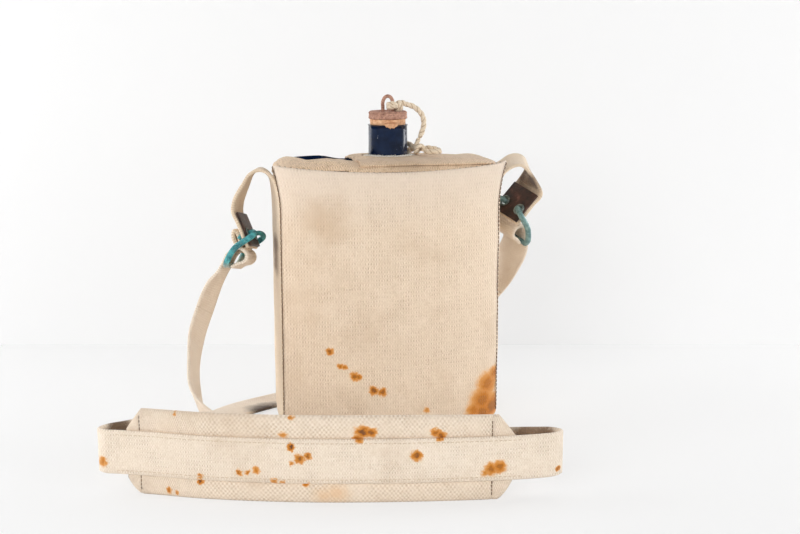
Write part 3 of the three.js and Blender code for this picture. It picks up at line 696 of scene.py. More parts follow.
# The string from the wire eye to the neck, and its loop as (degrees round the neck, lift)
CORD_RUN = [
    (0.0112, -0.0006, 0.2213),
    (0.0172, -0.0008, 0.21945),
    (0.0212, -0.001, 0.21645),
    (0.0238, -0.0012, 0.21276),
    (0.0246, -0.0013, 0.20744),
    (0.0233, -0.0012, 0.20213),
    (0.0216, -0.001, 0.1982),
]
LOOP_RADIUS = NECK_RADIUS + CORD_RADIUS + 0.0004
LOOP_LOW = SHOULDER_TOP + CORD_RADIUS + SEAT_GAP + 0.0002
LOOP_OVER = FLAP_CROWN + CORD_RADIUS + 2 * SEAT_GAP
STRAND_TOP = LOOP_OVER + 0.0024
AROUND_NECK = [
    (62, 0.0098), (88, 0.0064), (112, 0.0022), (140, 0.0002), (168, 0.0), (195, 0.0), (230, 0.0),
    (265, 0.0), (298, 0.0), (330, 0.0002), (0, 0.0012), (20, 0.0036),
]


# Section of the bottle and the heights of what lies over it
def bow(x):
    return BOW_DEPTH * (x / SEAM_X) ** 2


def lobe(x, half_width, half_depth, power):
    return half_depth * max(0.0, 1 - abs(x / half_width) ** power) ** (1 / power)


def farthest(inside, high):
    """The largest distance from 0 to high for which inside(distance) holds."""
    low = 0.0
    for _ in range(40):
        middle = (low + high) / 2
        if inside(middle):
            low = middle
        else:
            high = middle
    return low


def wall_reach(angle, half_width, half_depth, power):
    """Distance from the neck's axis to the wall of a bowed section, looking out at an angle."""
    def inside(distance):
        x = distance * math.cos(angle)
        v = distance * math.sin(angle) - bow(x)
        return abs(x / half_width) ** power + abs(v / half_depth) ** power < 1

    return farthest(inside, half_width * 1.5)


def dome(share, power):
    return (1 - share ** power) ** (1 / power)


def shoulder_height(share, x):
    """Height of the bottle's shoulder, which stands fuller on the left where only one flap lies over it."""
    plain = (SHOULDER_TOP - WALL_TOP) * dome(share, SHOULDER_POWER)
    full = (FULL_SHOULDER - WALL_TOP) * dome(share, FULL_POWER)
    return WALL_TOP + mix(plain, full, smooth(-x, *FULL_RUN))


def share_out(x, y, half_width, half_depth, power):
    """How far out a point lies, from 0 at the neck to 1 at the wall of a bowed section."""
    reach = wall_reach(math.atan2(y, x), half_width, half_depth, power)
    share = (math.hypot(x, y) - NECK_RADIUS) / (reach - NECK_RADIUS)
    return min(1.0, max(0.0, share))


def bottle_top(x, y):
    return shoulder_height(share_out(x, y, BOTTLE_HALF_WIDTH, BOTTLE_HALF_DEPTH, BOTTLE_POWER), x)


def flap_height(x, y):
    share = share_out(x, y, INSIDE_WIDTH, INSIDE_DEPTH, COVER_POWER)
    return mix(FLAP_EDGE, FLAP_CROWN, dome(share, FLAP_POWER))


# Cords and knots
def above_flap(x, y):
    return vec(x, y, flap_height(x, y) + CORD_RADIUS + 2 * SEAT_GAP)


def neck_loop_points():
    points = [polar(LOOP_RADIUS, math.radians(turn), LOOP_LOW + lift) for turn, lift in AROUND_NECK]
    points += [
        vec(0.017, 0.0076, LOOP_OVER + 0.0006),
        vec(0.023, 0.0062, LOOP_OVER + 0.0012),
        vec(0.030, 0.0044, LOOP_OVER + 0.0016),
        vec(0.0346, 0.0012, LOOP_OVER + 0.0008),
        above_flap(0.0354, -0.002),
        above_flap(0.0326, -0.0048),
        above_flap(0.027, -0.0044),
        vec(0.0206, -0.0009, STRAND_TOP - 0.0006),
        vec(0.0146, 0.0072, STRAND_TOP + 0.0026),
    ]
    return points


def make_cords():
    run = curve([Vector(p) for p in CORD_RUN], 90)
    cord = rope("stopper_cord", run, CORD_RADIUS)
    finish_piece(cord, STRING, None, ["cord_run"])
    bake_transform(cord)

    points = neck_loop_points()
    crossing = len(points) - 2
    order = points[crossing:] + points[:crossing]
    loop = curve(order, 300, closed=True)[:-7]
    ring = rope("neck_cord", loop, CORD_RADIUS)
    finish_piece(ring, STRING, "carrier", ["cord_neck_loop"])
    return loop


def make_eye_knot():
    """String wound round the wire eye's leg, and then round its own end where the cord begins."""
    leg = vec(EYE_HALF_SPAN, 0, CAP_TOP)
    leg_coil, leg_start, leg_climb = 0.0029, 0.0012, 0.00038
    end_coil, end_start, end_climb, end_height = 0.0023, 0.0026, 0.00042, 0.0032
    wound = []
    for i in range(10):
        wound.append(leg + polar(leg_coil, math.radians(70 * i), leg_start + leg_climb * i))
    for i in range(10):
        around = polar(end_coil, math.radians(180 + 70 * i), 0)
        wound.append(leg + vec(end_start + end_climb * i, around.x, end_height + around.y))
    first, second = Vector(CORD_RUN[0]), Vector(CORD_RUN[1])
    path = curve(wound + [first, first.lerp(second, 0.25)], 200)
    knot = rope("eye_knot", path, CORD_RADIUS * 0.95)
    finish_piece(knot, STRING, "stopper", ["cord_eye_knot"])


def make_side_knot(loop):
    """The cord's end, wound round the start of the loop."""
    coil, start, climb = 0.0027, 0.0019, 0.0003
    axis = (loop[3] - loop[0]).normalized()
    side = axis.cross(vec(0, 0, 1)).normalized()
    up = side.cross(axis)
    wrap = [Vector(CORD_RUN[-1])]
    for i in range(15):
        angle = math.radians(95 - 32 * i)
        around = side * math.cos(angle) + up * math.sin(angle)
        wrap.append(loop[0] + axis * (start - climb * i) + around * coil)
    tail = loop[0] + side * 0.0046 + up * 0.0006 - axis * 0.004
    knot = rope("side_knot", curve(wrap + [tail], 140), CORD_RADIUS * 0.85)
    finish_piece(knot, STRING, "carrier", ["cord_side_knot"])


neck_path = make_cords()
make_eye_knot()
make_side_knot(neck_path)


# Bottle
def section_ring(inset, z, count):
    ring = []
    for i in range(count):
        turn = 2 * math.pi * i / count
        angle = math.atan2(0.75 * math.sin(turn), math.cos(turn))
        reach = wall_reach(angle, BOTTLE_HALF_WIDTH - inset, BOTTLE_HALF_DEPTH - inset, BOTTLE_POWER)
        ring.append(polar(reach, angle, z))
    return ring


def make_bottle():
    count, foot = 96, WEB + 0.0004
    neck_hole = NECK_RADIUS + 0.0002
    rings = []
    for degrees in range(0, 91, 15):
        turn = math.radians(degrees)
        pull = BASE_ROUNDING * (1 - math.sin(turn))
        rings.append(section_ring(pull, foot + BASE_ROUNDING * (1 - math.cos(turn)), count))
    wall = section_ring(0, WALL_TOP, count)
    rings.append(wall)
    for share in (0.9995, 0.998, 0.993, 0.985, 0.97, 0.94, 0.9, 0.84, 0.76, 0.66, 0.54, 0.4, 0.25, 0.1, 0):
        ring = []
        for p in wall:
            reach = math.hypot(p.x, p.y)
            shrink = (neck_hole + share * (reach - neck_hole)) / reach
            ring.append(vec(p.x * shrink, p.y * shrink, shoulder_height(share, p.x * shrink)))
        rings.append(ring)

    def inner(ring, drop):
        return [vec(p.x * 0.985, p.y * 0.97, p.z - drop) for p in ring]

    inside = [inner(ring, BOTTLE_WALL) for ring in rings[::-1]]
    inside[0] = [vec(p.x, p.y, p.z - BOTTLE_WALL) for p in rings[-1]]
    inside[-1] = inner(rings[0], -BOTTLE_WALL)
    rings += inside
    points = [p for ring in rings for p in ring]
    body = mesh_object("enamelled_body", points, grid_faces(len(rings), count, wrap=True, ring=True))
    finish_piece(body, BODY_ENAMEL, "carrier", ["bottle_body"])


def make_neck():
    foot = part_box("bottle_neck")[0][2]
    bore_radius = NECK_RADIUS - NECK_WALL
    flange, flange_top = NECK_RADIUS + 0.0032, foot + 0.001
    profile = [(bore_radius, foot), (flange, foot), (flange, flange_top), (NECK_RADIUS, flange_top)]
    for share in np.linspace(0.05, 0.9, 8):
        profile.append((NECK_RADIUS, mix(foot, LIP_HEIGHT - 2.2 * LIP_BEAD, share)))
    for degrees in range(-90, 91, 20):
        turn = math.radians(degrees)
        z = LIP_HEIGHT - LIP_BEAD + LIP_BEAD * math.sin(turn)
        profile.append((NECK_RADIUS + LIP_BEAD * math.cos(turn), z))
    profile += [(bore_radius + 0.0003, LIP_HEIGHT), (bore_radius, LIP_HEIGHT - 0.0004)]

    def wobble(angle, z):
        return 0.00012 * noise.noise(polar(3, angle, z * 90))

    neck = lathe("enamelled_neck", profile, 96, wobble)
    finish_piece(neck, ENAMEL, "carrier", ["bottle_neck"])


def dress_node(name, material, bevel=0.0):
    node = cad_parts[name]
    node.data.materials.clear()
    node.data.materials.append(material)
    if bevel:
        modifier = node.modifiers.new("soft_edge", "BEVEL")
        modifier.width, modifier.segments, modifier.limit_method = bevel, 3, "ANGLE"


def make_cork():
    def crumbly(angle, z):
        place = polar(4, angle, z * 260)
        return 0.0005 * noise.noise(place) + 0.0003 * noise.noise(place * 3)

    taper = CORK_RADIUS - 0.002
    profile = [(0, CORK_LOW), (taper - 0.0006, CORK_LOW), (taper, CORK_LOW + 0.0008)]
    for share in np.linspace(0.1, 1, 14):
        radius = min(CORK_RADIUS + 0.0001, mix(taper, CORK_RADIUS, share * 1.4))
        profile.append((radius - 0.0004 * (share < 0.65), mix(CORK_LOW, CORK_TOP, share)))
    profile.append((0, CORK_TOP))
    cork = lathe("tapered_cork", profile, 96, crumbly)
    finish_piece(cork, CORK, "stopper", ["stopper_cork"])


def make_cap():
    def crimped(angle, z):
        ridges = 0.00012 * math.cos(44 * angle) * smooth(z, CAP_TOP - 0.0012, CAP_LOW)
        return ridges + 0.0003 * noise.noise(polar(2, angle, z * 200)) - 0.0003

    inside, under = CAP_RADIUS - CAP_PLATE, CAP_TOP - CAP_PLATE
    profile = [(0, under), (inside, under), (inside, CAP_LOW)]
    profile += [(CAP_RADIUS - 0.0006, CAP_LOW - 0.0002), (CAP_RADIUS, CAP_LOW + 0.0003)]
    for share in np.linspace(0.15, 0.75, 6):
        profile.append((CAP_RADIUS - 0.0002 * math.sin(math.pi * share), mix(CAP_LOW, CAP_TOP, share)))
    for inward, down in CAP_SHOULDER:
        profile.append((CAP_RADIUS - inward, CAP_TOP - down))
    profile += [(CAP_RADIUS * 0.5, CAP_TOP - 0.0005), (0, CAP_TOP - 0.0005)]
    cap = lathe("crimped_cap", profile, 176, crimped)
    finish_piece(cap, RUST, "stopper", ["stopper_cap"])


def make_wire_eye():
    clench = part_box("stopper_wire_eye")[0][2] + EYE_WIRE
    half = [
        (EYE_HALF_SPAN + EYE_FOOT, clench),
        (EYE_HALF_SPAN + 0.44 * EYE_FOOT, clench),
        (EYE_HALF_SPAN + 0.08 * EYE_FOOT, clench + EYE_WIRE / 3),
        (EYE_HALF_SPAN, clench + 1.33 * EYE_WIRE),
        (EYE_HALF_SPAN, (clench + CORK_TOP) / 2),
        (EYE_HALF_SPAN, CORK_TOP),
        (EYE_HALF_SPAN, CAP_TOP + 0.27 * EYE_RISE),
        (1.02 * EYE_HALF_SPAN, CAP_TOP + 0.5 * EYE_RISE),
        (0.6 * EYE_HALF_SPAN, CAP_TOP + 0.8 * EYE_RISE),
    ]
    points = [vec(-x, 0, z) for x, z in half] + [vec(0, 0, CAP_TOP + EYE_RISE - EYE_WIRE)]
    path = curve(points + [vec(x, 0, z) for x, z in half[::-1]], 160)

    def blunt(share, angle):
        nearest = min(share, 1 - share) * len(path) / 3
        return EYE_WIRE * math.sqrt(min(1.0, 0.25 + nearest))

    eye = mesh_object("bent_wire_eye", *tube_parts(path, blunt, 12))
    finish_piece(eye, RUST, "stopper", ["stopper_wire_eye"])


def make_cork_tongue():
    """A torn lip of cork bent over the front of the neck."""
    rows, columns = 8, 24
    grid = np.zeros((rows + 1, columns + 1, 3))
    for c in range(columns + 1):
        angle = math.radians(mix(-110, -72, c / columns))
        ends = math.sin(math.pi * c / columns) ** 0.5
        drop = ends * (0.0026 + 0.0012 * noise.noise(vec(c * 0.45, 2.1, 0)))
        for r in range(rows + 1):
            share = r / rows
            radius = mix(CORK_RADIUS - 0.0006, NECK_RADIUS + LIP_BEAD + 0.0008, smooth(share, 0, 0.45))
            z = LIP_HEIGHT + 0.0011 - drop * smooth(share, 0.25, 1)
            grid[r, c] = (radius * math.cos(angle), radius * math.sin(angle), z)
    torn = cloth("cork_tongue", rumpled(grid, [(0.0004, 700, 1.1)]), 0.0009, grid[:, :, :2].copy())
    finish_piece(torn, CORK, "stopper")


make_bottle()
make_neck()
make_cork()
make_cap()
make_wire_eye()
make_cork_tongue()
dress_node("stopper_bottom_washer", RUST, 0.0002)
dress_node("bottle_base", ENAMEL)


# Stains on the cover's front as (x, height, radius, strength), in metres
FRONT_STAINS = [
    (-0.0463, 0.0597, 0.0036, 0.85), (-0.0395, 0.0497, 0.0028, 0.8), (-0.0362, 0.0490, 0.0026, 0.75),
    (-0.0300, 0.0427, 0.0040, 0.85), (-0.0275, 0.0418, 0.0036, 0.8), (-0.0170, 0.0326, 0.0044, 0.9),
    (-0.0112, 0.0312, 0.0042, 0.85), (0.0198, 0.0166, 0.0032, 0.5), (0.0660, 0.0290, 0.0122, 0.76),
    (0.0620, 0.0180, 0.0136, 0.78), (0.0700, 0.0120, 0.0132, 0.82), (0.0550, 0.0120, 0.0085, 0.72),
    (0.0715, 0.0350, 0.0078, 0.74), (0.0622, 0.0090, 0.0128, 0.78),
]
# Stains on the pad and the strap over it, as (x, height, radius, strength)
PAD_STAINS = [
    (-0.1914, 0.0197, 0.0044, 0.66), (-0.1505, 0.0510, 0.0022, 0.5), (-0.1544, 0.0038, 0.0032, 0.75),
    (-0.1502, 0.0028, 0.0022, 0.6), (-0.1364, 0.0151, 0.0026, 0.6), (-0.1365, 0.0114, 0.0028, 1.0),
    (-0.1122, 0.0186, 0.0026, 0.8), (-0.1095, 0.0188, 0.0022, 0.75), (-0.1053, 0.0200, 0.0032, 0.7),
    (-0.0887, 0.0412, 0.0026, 0.5), (-0.0855, 0.0347, 0.0032, 1.0), (-0.0820, 0.0276, 0.0040, 0.9),
    (-0.0795, 0.0280, 0.0034, 0.85), (-0.0744, 0.0295, 0.0030, 0.85), (-0.0856, 0.0250, 0.0022, 0.6),
    (-0.0925, 0.0139, 0.0028, 0.6), (-0.0900, 0.0132, 0.0022, 0.5), (-0.0774, 0.0113, 0.0022, 0.7),
    (-0.0841, 0.0515, 0.0016, 0.6), (-0.0599, 0.0058, 0.0090, 0.2), (-0.0660, 0.0050, 0.0080, 0.18),
    (-0.0440, 0.0433, 0.0048, 0.95), (-0.0400, 0.0428, 0.0040, 0.9), (-0.0484, 0.0390, 0.0032, 0.75),
    (-0.0025, 0.0425, 0.0034, 0.8), (0.0002, 0.0403, 0.0034, 0.85), (-0.0156, 0.0291, 0.0046, 0.9),
    (0.0335, 0.0212, 0.0056, 0.8), (0.0290, 0.0200, 0.0054, 0.8), (0.0240, 0.0178, 0.0032, 0.6),
    (0.0691, 0.0172, 0.0022, 0.8),
]
FRONT_SOIL = [(vec(-0.048, -0.0315, 0.147), 0.02, tone(206, 176, 144), 0.5)]
FLAP_SOIL = [(vec(0.006, -0.024, 0.184), 0.032, tone(184, 158, 130), 0.6)]
# Darkening on the side strips, as (place, radius, shade, share): two patches on the left strip behind its
# hook, then painted shade, partly dirt, on the inner face of the right arch.
STRIP_SHADE_AND_DARK_PATCHES = [
    (vec(-0.078, 0.003, 0.127), 0.0105, tone(132, 108, 86), 1.2),
    (vec(-0.078, 0.003, 0.115), 0.0105, tone(140, 116, 94), 1.1),
    (vec(0.1, 0.0065, 0.163), 0.012, tone(96, 72, 52), 1.5),
    (vec(0.1, 0.015, 0.1655), 0.012, tone(96, 72, 52), 1.5),
    (vec(0.1, 0.0235, 0.168), 0.012, tone(96, 72, 52), 1.5),
]
FRONT_CANVAS = woven(
    "front_canvas", tone(248, 229, 207), tone(208, 182, 153), 0.0009, ribs=0.4,
    spots=FRONT_STAINS, soil_and_shade=FRONT_SOIL, fade=(0.14, 0.178, tone(230, 213, 196)),
)
FLAP_CANVAS = woven(
    "flap_canvas", tone(244, 217, 186), tone(178, 146, 112), 0.0008, soil_and_shade=FLAP_SOIL, uneven=0.8,
)
STRIP_WEB = woven("strip_webbing", tone(240, 221, 196), tone(208, 182, 152), 0.0008, soil_and_shade=STRIP_SHADE_AND_DARK_PATCHES)


# Cover panel
def flare(z):
    return 1 + FLARE_SHARE * (max(0.0, z - FLARE_START) / (COVER_TOP - FLARE_START)) ** 2


def top_edge(x):
    return COVER_TOP + CORNER_LIFT * (x / SEAM_X) ** 2


def panel_run(depth, rounding, low, front_top, back_top):
    """The panel's U-shaped run as (depth, height), from the front top edge to the back one."""
    def half(side, top):
        straight = [(side * depth, mix(low + rounding, top, s)) for s in np.linspace(1, 0, 60)]
        turned = []
        for degrees in range(10, 91, 10):
            turn = math.radians(degrees)
            v = depth - rounding * (1 - math.cos(turn))
            turned.append((side * v, low + rounding * (1 - math.sin(turn))))
        return straight + turned

    flat = [(share * (depth - rounding), low) for share in np.linspace(-0.85, 0.85, 12)]
    return half(-1, front_top) + flat + half(1, back_top)[::-1]


def cover_point_run(x, inset):
    scale = (COVER_HALF_WIDTH - inset) / COVER_HALF_WIDTH
    depth = lobe(x, COVER_HALF_WIDTH, COVER_HALF_DEPTH, COVER_POWER) - inset
    run = panel_run(depth, BOTTOM_ROUNDING - inset, inset, top_edge(x), COVER_TOP - BACK_DROP)
    return [(x * scale * (flare(z) if v < 0 else 1), v + bow(x), z) for v, z in run]


def make_cover():
    columns = 90
    xs = np.linspace(-SEAM_X, SEAM_X, columns + 1)
    grid = np.array([cover_point_run(x, WEB / 2) for x in xs]).transpose(1, 0, 2)
    steps = np.linalg.norm(np.diff(grid, axis=0), axis=2)
    along = np.concatenate([np.zeros((1, columns + 1)), np.cumsum(steps, axis=0)])
    uv = np.stack([np.broadcast_to(xs, along.shape), grid[0, :, 2][None, :] - along], axis=2)
    # Nothing is rumpled where the cover stands on the ground
    free = np.clip((grid[:, :, 2:3] - WEB) / BOTTOM_ROUNDING, 0, 1)
    soft = rumpled(grid, [(0.0009, 22, 1.3), (0.0004, 75, 4.1)])
    panel = cloth("cover_canvas", grid + (soft - grid) * free, WEB, uv)
    finish_piece(panel, FRONT_CANVAS, "carrier", ["cover_panel"])


# Flaps over the bottle's shoulder
FLAP_CLEAR = 0.0005
FLAP_REACH = INSIDE_WIDTH - 0.0014
LAYER = FLAP_THICKNESS + SEAT_GAP
NECK_HOLE = NECK_RADIUS + 2 * CORD_RADIUS + 0.001
NECK_FLAP_INSET = 0.002
BEYOND_FLAP = 0.09
# Runs of x: the front flap goes under the neck flap, which sags and is tight again at its right end
UNDER_RUN, SAG_RUN, TIGHT_RUN = (-0.036, -0.026), (0.014, 0.044), (0.05, 0.072)
LOOSE_IN = 0.011
EDGE_WAVE = 0.0014
BLEND_RUN = 0.004
# The front flap's left end reaches further back, beyond these distances left of the neck
LEFT_END_RUN, LEFT_END_REAR = (0.056, 0.071), 0.026
STEP_SLOPE = 0.005


def front_inside(x):
    return bow(x) - lobe(x, INSIDE_WIDTH, INSIDE_DEPTH, COVER_POWER) + FLAP_CLEAR


def rear_inside(x):
    return bow(x) + lobe(x, INSIDE_WIDTH, INSIDE_DEPTH, COVER_POWER) - FLAP_CLEAR


def front_flap_top(x, y):
    under = flap_height(x, y) - LAYER * smooth(x, *UNDER_RUN)
    return max(under, bottle_top(x, y) + LAYER)


def neck_flap_top(x, y):
    sag = FLAP_SAG * smooth(x, *SAG_RUN) * (1 - smooth(x, *TIGHT_RUN))
    loose = 1 - smooth(x, FLAP_STEP, FLAP_STEP + LOOSE_IN)
    sag += loose * (EDGE_SAG - EDGE_WAVE * abs(noise.noise(vec(x * 170, y * 170, 1.7))))
    edge = front_inside(x) + FRONT_FLAP_STRIP
    below = mix(front_flap_top(x, y), bottle_top(x, y), smooth(y, edge, edge + BLEND_RUN))
    lip = NECK_LIP * (1 - smooth(math.hypot(x, y), NECK_HOLE, NECK_HOLE + BLEND_RUN))
    return max(flap_height(x, y) - sag, below + LAYER) + lip


def front_flap_rear(x):
    wide = max(FRONT_FLAP_REAR, front_inside(x) + BLEND_RUN)
    wide = mix(wide, LEFT_END_REAR, smooth(-x, *LEFT_END_RUN))
    narrow = front_inside(x) + FRONT_FLAP_STRIP
    rear = mix(wide, narrow, smooth(x, FLAP_STEP - STEP_SLOPE, FLAP_STEP + STEP_SLOPE))
    return min(rear, rear_inside(x)) + 0.0006 * noise.noise(vec(x * 90, 0.3, 0))


def make_front_flap():
    rows, columns, turned = 110, 22, 8
    grid = np.zeros((2 * turned + rows + 1, columns + 1, 3))
    uv = np.zeros((2 * turned + rows + 1, columns + 1, 2))
    for r in range(-turned, rows + turned + 1):
        x = mix(-FLAP_REACH, FLAP_REACH, min(rows, max(0, r)) / rows)
        side = -1 if r < 0 else 1
        turn = max(0, -r, r - rows) / turned * math.pi / 2
        out, drop = FLAP_TURN_OUT * math.sin(turn), FLAP_TURN_DROP * (1 - math.cos(turn))
        front, rear = front_inside(x), front_flap_rear(x)
        for c in range(columns + 1):
            y = mix(front, rear, (c / columns) ** 2)
            grid[turned + r, c] = (x + side * out, y, front_flap_top(x, y) - FLAP_THICKNESS / 2 - drop)
            uv[turned + r, c] = (x + side * (out + drop), y)
    grid = rumpled(grid, [(0.0005, 60, 2.2), (0.0003, 150, 5.1)])
    flap = cloth("front_flap", grid, FLAP_THICKNESS, uv)
    finish_piece(flap, FLAP_CANVAS, "carrier", ["front_top_flap"])


def flap_outline(angle):
    """Distance from the neck's axis to the edge of the neck flap, looking out at an angle."""
    def inside(distance):
        x, y = distance * math.cos(angle), distance * math.sin(angle)
        torn_edge = FLAP_STEP + 0.0011 * noise.noise(vec(y * 240, 0.7, 0.2))
        return torn_edge < x < FLAP_REACH and front_inside(x) + NECK_FLAP_INSET < y < rear_inside(x)

    return farthest(inside, BEYOND_FLAP)


def make_neck_flap():
    rows, columns = 26, 200
    grid = np.zeros((rows + 1, columns, 3))
    for c in range(columns):
        angle = 2 * math.pi * c / columns
        reach = flap_outline(angle)
        hole = NECK_HOLE + 0.0002 * noise.noise(vec(angle * 4, 1, 1))
        for r in range(rows + 1):
            radius = mix(hole, reach, 1 - (1 - r / rows) ** 1.8)
            x, y = radius * math.cos(angle), radius * math.sin(angle)
            grid[r, c] = (x, y, neck_flap_top(x, y) - FLAP_THICKNESS / 2)
    uv = grid[:, :, :2].copy()
    lifted = rumpled(grid, [(0.0004, 60, 7.2), (0.0003, 150, 3.3)], wrap=True)
    flap = cloth("neck_flap_canvas", lifted, FLAP_THICKNESS, uv, wrap=True)
    finish_piece(flap, FLAP_CANVAS, "carrier", ["neck_flap"])


make_cover()
make_front_flap()
make_neck_flap()


# Clasps: places are (out from the cover's side, y, up from the cover's top edge)
class Clasp:
    """One side's tab, leather, eyelets and hook, and the axes they are set out on."""

    def __init__(self, name, side, eyelets, across, tab_down, hook_down, arch, turns, leather, brass):
        self.name, self.side, self.leather, self.brass = name, side, leather, brass
        self.turns = [Vector(turn) for turn in turns]
        self.arch = [self.from_cover(p) for p in arch]
        self.eyelets = self.from_cover(eyelets)
        self.across = Vector(across).normalized()
        self.tab_down = self.square(tab_down)
        self.hook_down = self.square(hook_down)
        self.tab_face = self.tab_down.cross(self.across) * side
        self.hook_face = self.across.cross(-self.hook_down) * side

    def from_cover(self, place):
        out, y, up = place
        return vec(self.side * (COVER_HALF_WIDTH + out), y, COVER_TOP + up)

    def square(self, way):
        way = Vector(way)
        return (way - self.across * way.dot(self.across)).normalized()

    def on_tab(self, w, down, out):
        return self.eyelets + self.across * w + self.tab_down * down + self.tab_face * out

    def on_hook(self, w, down, out):
        return self.eyelets + self.across * w + self.hook_down * down + self.hook_face * out


LEFT = Clasp(
    "left", -1, eyelets=(0.0182, 0.0095, -0.045), across=(-0.304, -0.931, 0.202),
    tab_down=(0.338, -0.304, -0.891), hook_down=(-0.5, -0.06, -0.865),
    arch=[(0.0009, 0.0122, -0.005), (0.0077, 0.013, -0.0006), (0.0134, 0.014, -0.0028),
          (0.0184, 0.0148, -0.0114), (0.0232, 0.0152, -0.022)],
    turns=[(-0.03, -0.99, 0.02), (-0.08, -0.98, 0.05), (-0.14, -0.97, 0.09),
           (-0.21, -0.95, 0.14), (-0.27, -0.94, 0.18)],
    leather=LEFT_LEATHER, brass=TEAL,
)
RIGHT = Clasp(
    "right", 1, eyelets=(0.0174, 0.017, -0.0318), across=(0.4, -0.87, -0.29),
    tab_down=(-0.66, -0.05, -0.75), hook_down=(0.07, 0.34, -0.93),
    arch=[(0.0009, 0.0122, -0.007), (0.0084, 0.0126, -0.0014), (0.0178, 0.0138, 0.0012),
          (0.0249, 0.0148, -0.0014), (0.0288, 0.016, -0.0094)],
    turns=[(0, -1, -0.01), (-0.06, -0.98, -0.06), (-0.2, -0.95, -0.17),
           (-0.18, -0.95, -0.26), (0, -0.95, -0.3)],
    leather=RIGHT_LEATHER, brass=GREY_TEAL,
)
GUSSET_X = SEAM_X + SEAT_GAP - WEB / 2
GUSSET_HALF = lobe(SEAM_X, COVER_HALF_WIDTH, COVER_HALF_DEPTH, COVER_POWER) - WEB - SEAT_GAP
TAB_START, TAB_TURN = 0.145, 0.162
BARREL_RADIUS = EYELET_BORE + EYELET_BARREL
# The tab's two faces with its leather on, out from its middle
TAB_BACK = -WEB / 2 - SEAT_GAP
LEATHER_TOP = WEB / 2 + SEAT_GAP + LEATHER
TAB_FRONT = LEATHER_TOP + SEAT_GAP


def strip_half(z):
    rounding = BOTTOM_ROUNDING - WEB
    down = max(0.0, rounding - (z - WEB))
    return GUSSET_HALF - rounding + math.sqrt(max(0.0, rounding ** 2 - down ** 2))


def strip_stations(clasp):
    near = vec(0, -1, 0)
    foot = WEB + COVER_GAP
    stations, halves, bulges = [], [], []
    for z in list(np.linspace(foot, 0.014, 14)) + list(np.linspace(0.018, TAB_START, 50)):
        stations.append((vec(clasp.side * GUSSET_X, BOW_DEPTH, z), near))
        halves.append(strip_half(z))
        bulges.append(clasp.side * GUSSET_BULGE * smooth(z, foot - 0.004, foot + 0.012))
    points = [vec(clasp.side * GUSSET_X, BOW_DEPTH, TAB_START)]
    points += [vec(clasp.side * GUSSET_X * flare(TAB_TURN), BOW_DEPTH, TAB_TURN)] + clasp.arch
    points += [clasp.on_tab(0, d, 0) for d in (-LEATHER_ABOVE, -LEATHER_ABOVE * 0.55, 0, TAB_BELOW_EYELETS)]
    turns = [near, near] + clasp.turns + [clasp.across] * 4
    steps = 104
    for i in range(1, steps + 1):
        turn = spline(turns, i / steps, even=True).normalized()
        fade = smooth(i, 4, 36)
        stations.append((spline(points, i / steps), turn))
        halves.append(mix(GUSSET_HALF, TAB_HALF_WIDTH, fade))
        bulges.append(clasp.side * GUSSET_BULGE * (1 - fade))
    return stations, halves, bulges


def make_strip(clasp):
    stations, halves, bulges = strip_stations(clasp)
    grid, uv = ribbon(stations, halves, bulges, 16)
    grid = rumpled(grid, [(0.0004, 70, 3.7 + clasp.side)])
    strip = cloth(clasp.name + "_strip", grid, WEB, uv)
    places = [clasp.on_tab(end * EYELET_HALF_SPACING, 0, 0) for end in (-1, 1)]
    bore(strip, places, clasp.tab_face, BARREL_RADIUS + SEAT_GAP)
    finish_piece(strip, STRIP_WEB, "carrier", [clasp.name + "_side_strip"])


def eyelet_profile():
    """An eyelet's bore and its two rolled rims, as (radius, out from the tab's middle)."""
    rolled = []
    for degrees in range(0, 181, 30):
        angle = math.radians(degrees)
        radius = mix(EYELET_BORE + 0.0001, EYELET_RIM, (1 - math.cos(angle)) / 2)
        rolled.append((radius, FLANGE * (0.1 + 0.9 * math.sin(angle))))
    profile = [(EYELET_BORE, TAB_BACK), (EYELET_BORE, TAB_FRONT)]
    profile += [(radius, TAB_FRONT + out) for radius, out in rolled]
    profile += [(BARREL_RADIUS, TAB_FRONT), (BARREL_RADIUS, TAB_BACK)]
    return profile + [(radius, TAB_BACK - out) for radius, out in rolled[::-1]]


def make_eyelets(clasp):
    turn = vec(0, 0, 1).rotation_difference(clasp.tab_face)
    for end, which in ((-1, "rear"), (1, "front")):
        ring = lathe(f"{clasp.name}_{which}_eyelet", eyelet_profile(), 40)
        place = clasp.on_tab(end * EYELET_HALF_SPACING, 0, 0)
        ring.data.transform(Matrix.LocRotScale(place, turn, None))
        finish_piece(ring, EYELET_BRASS, "carrier", [f"{clasp.name}_eyelet_{which}"])


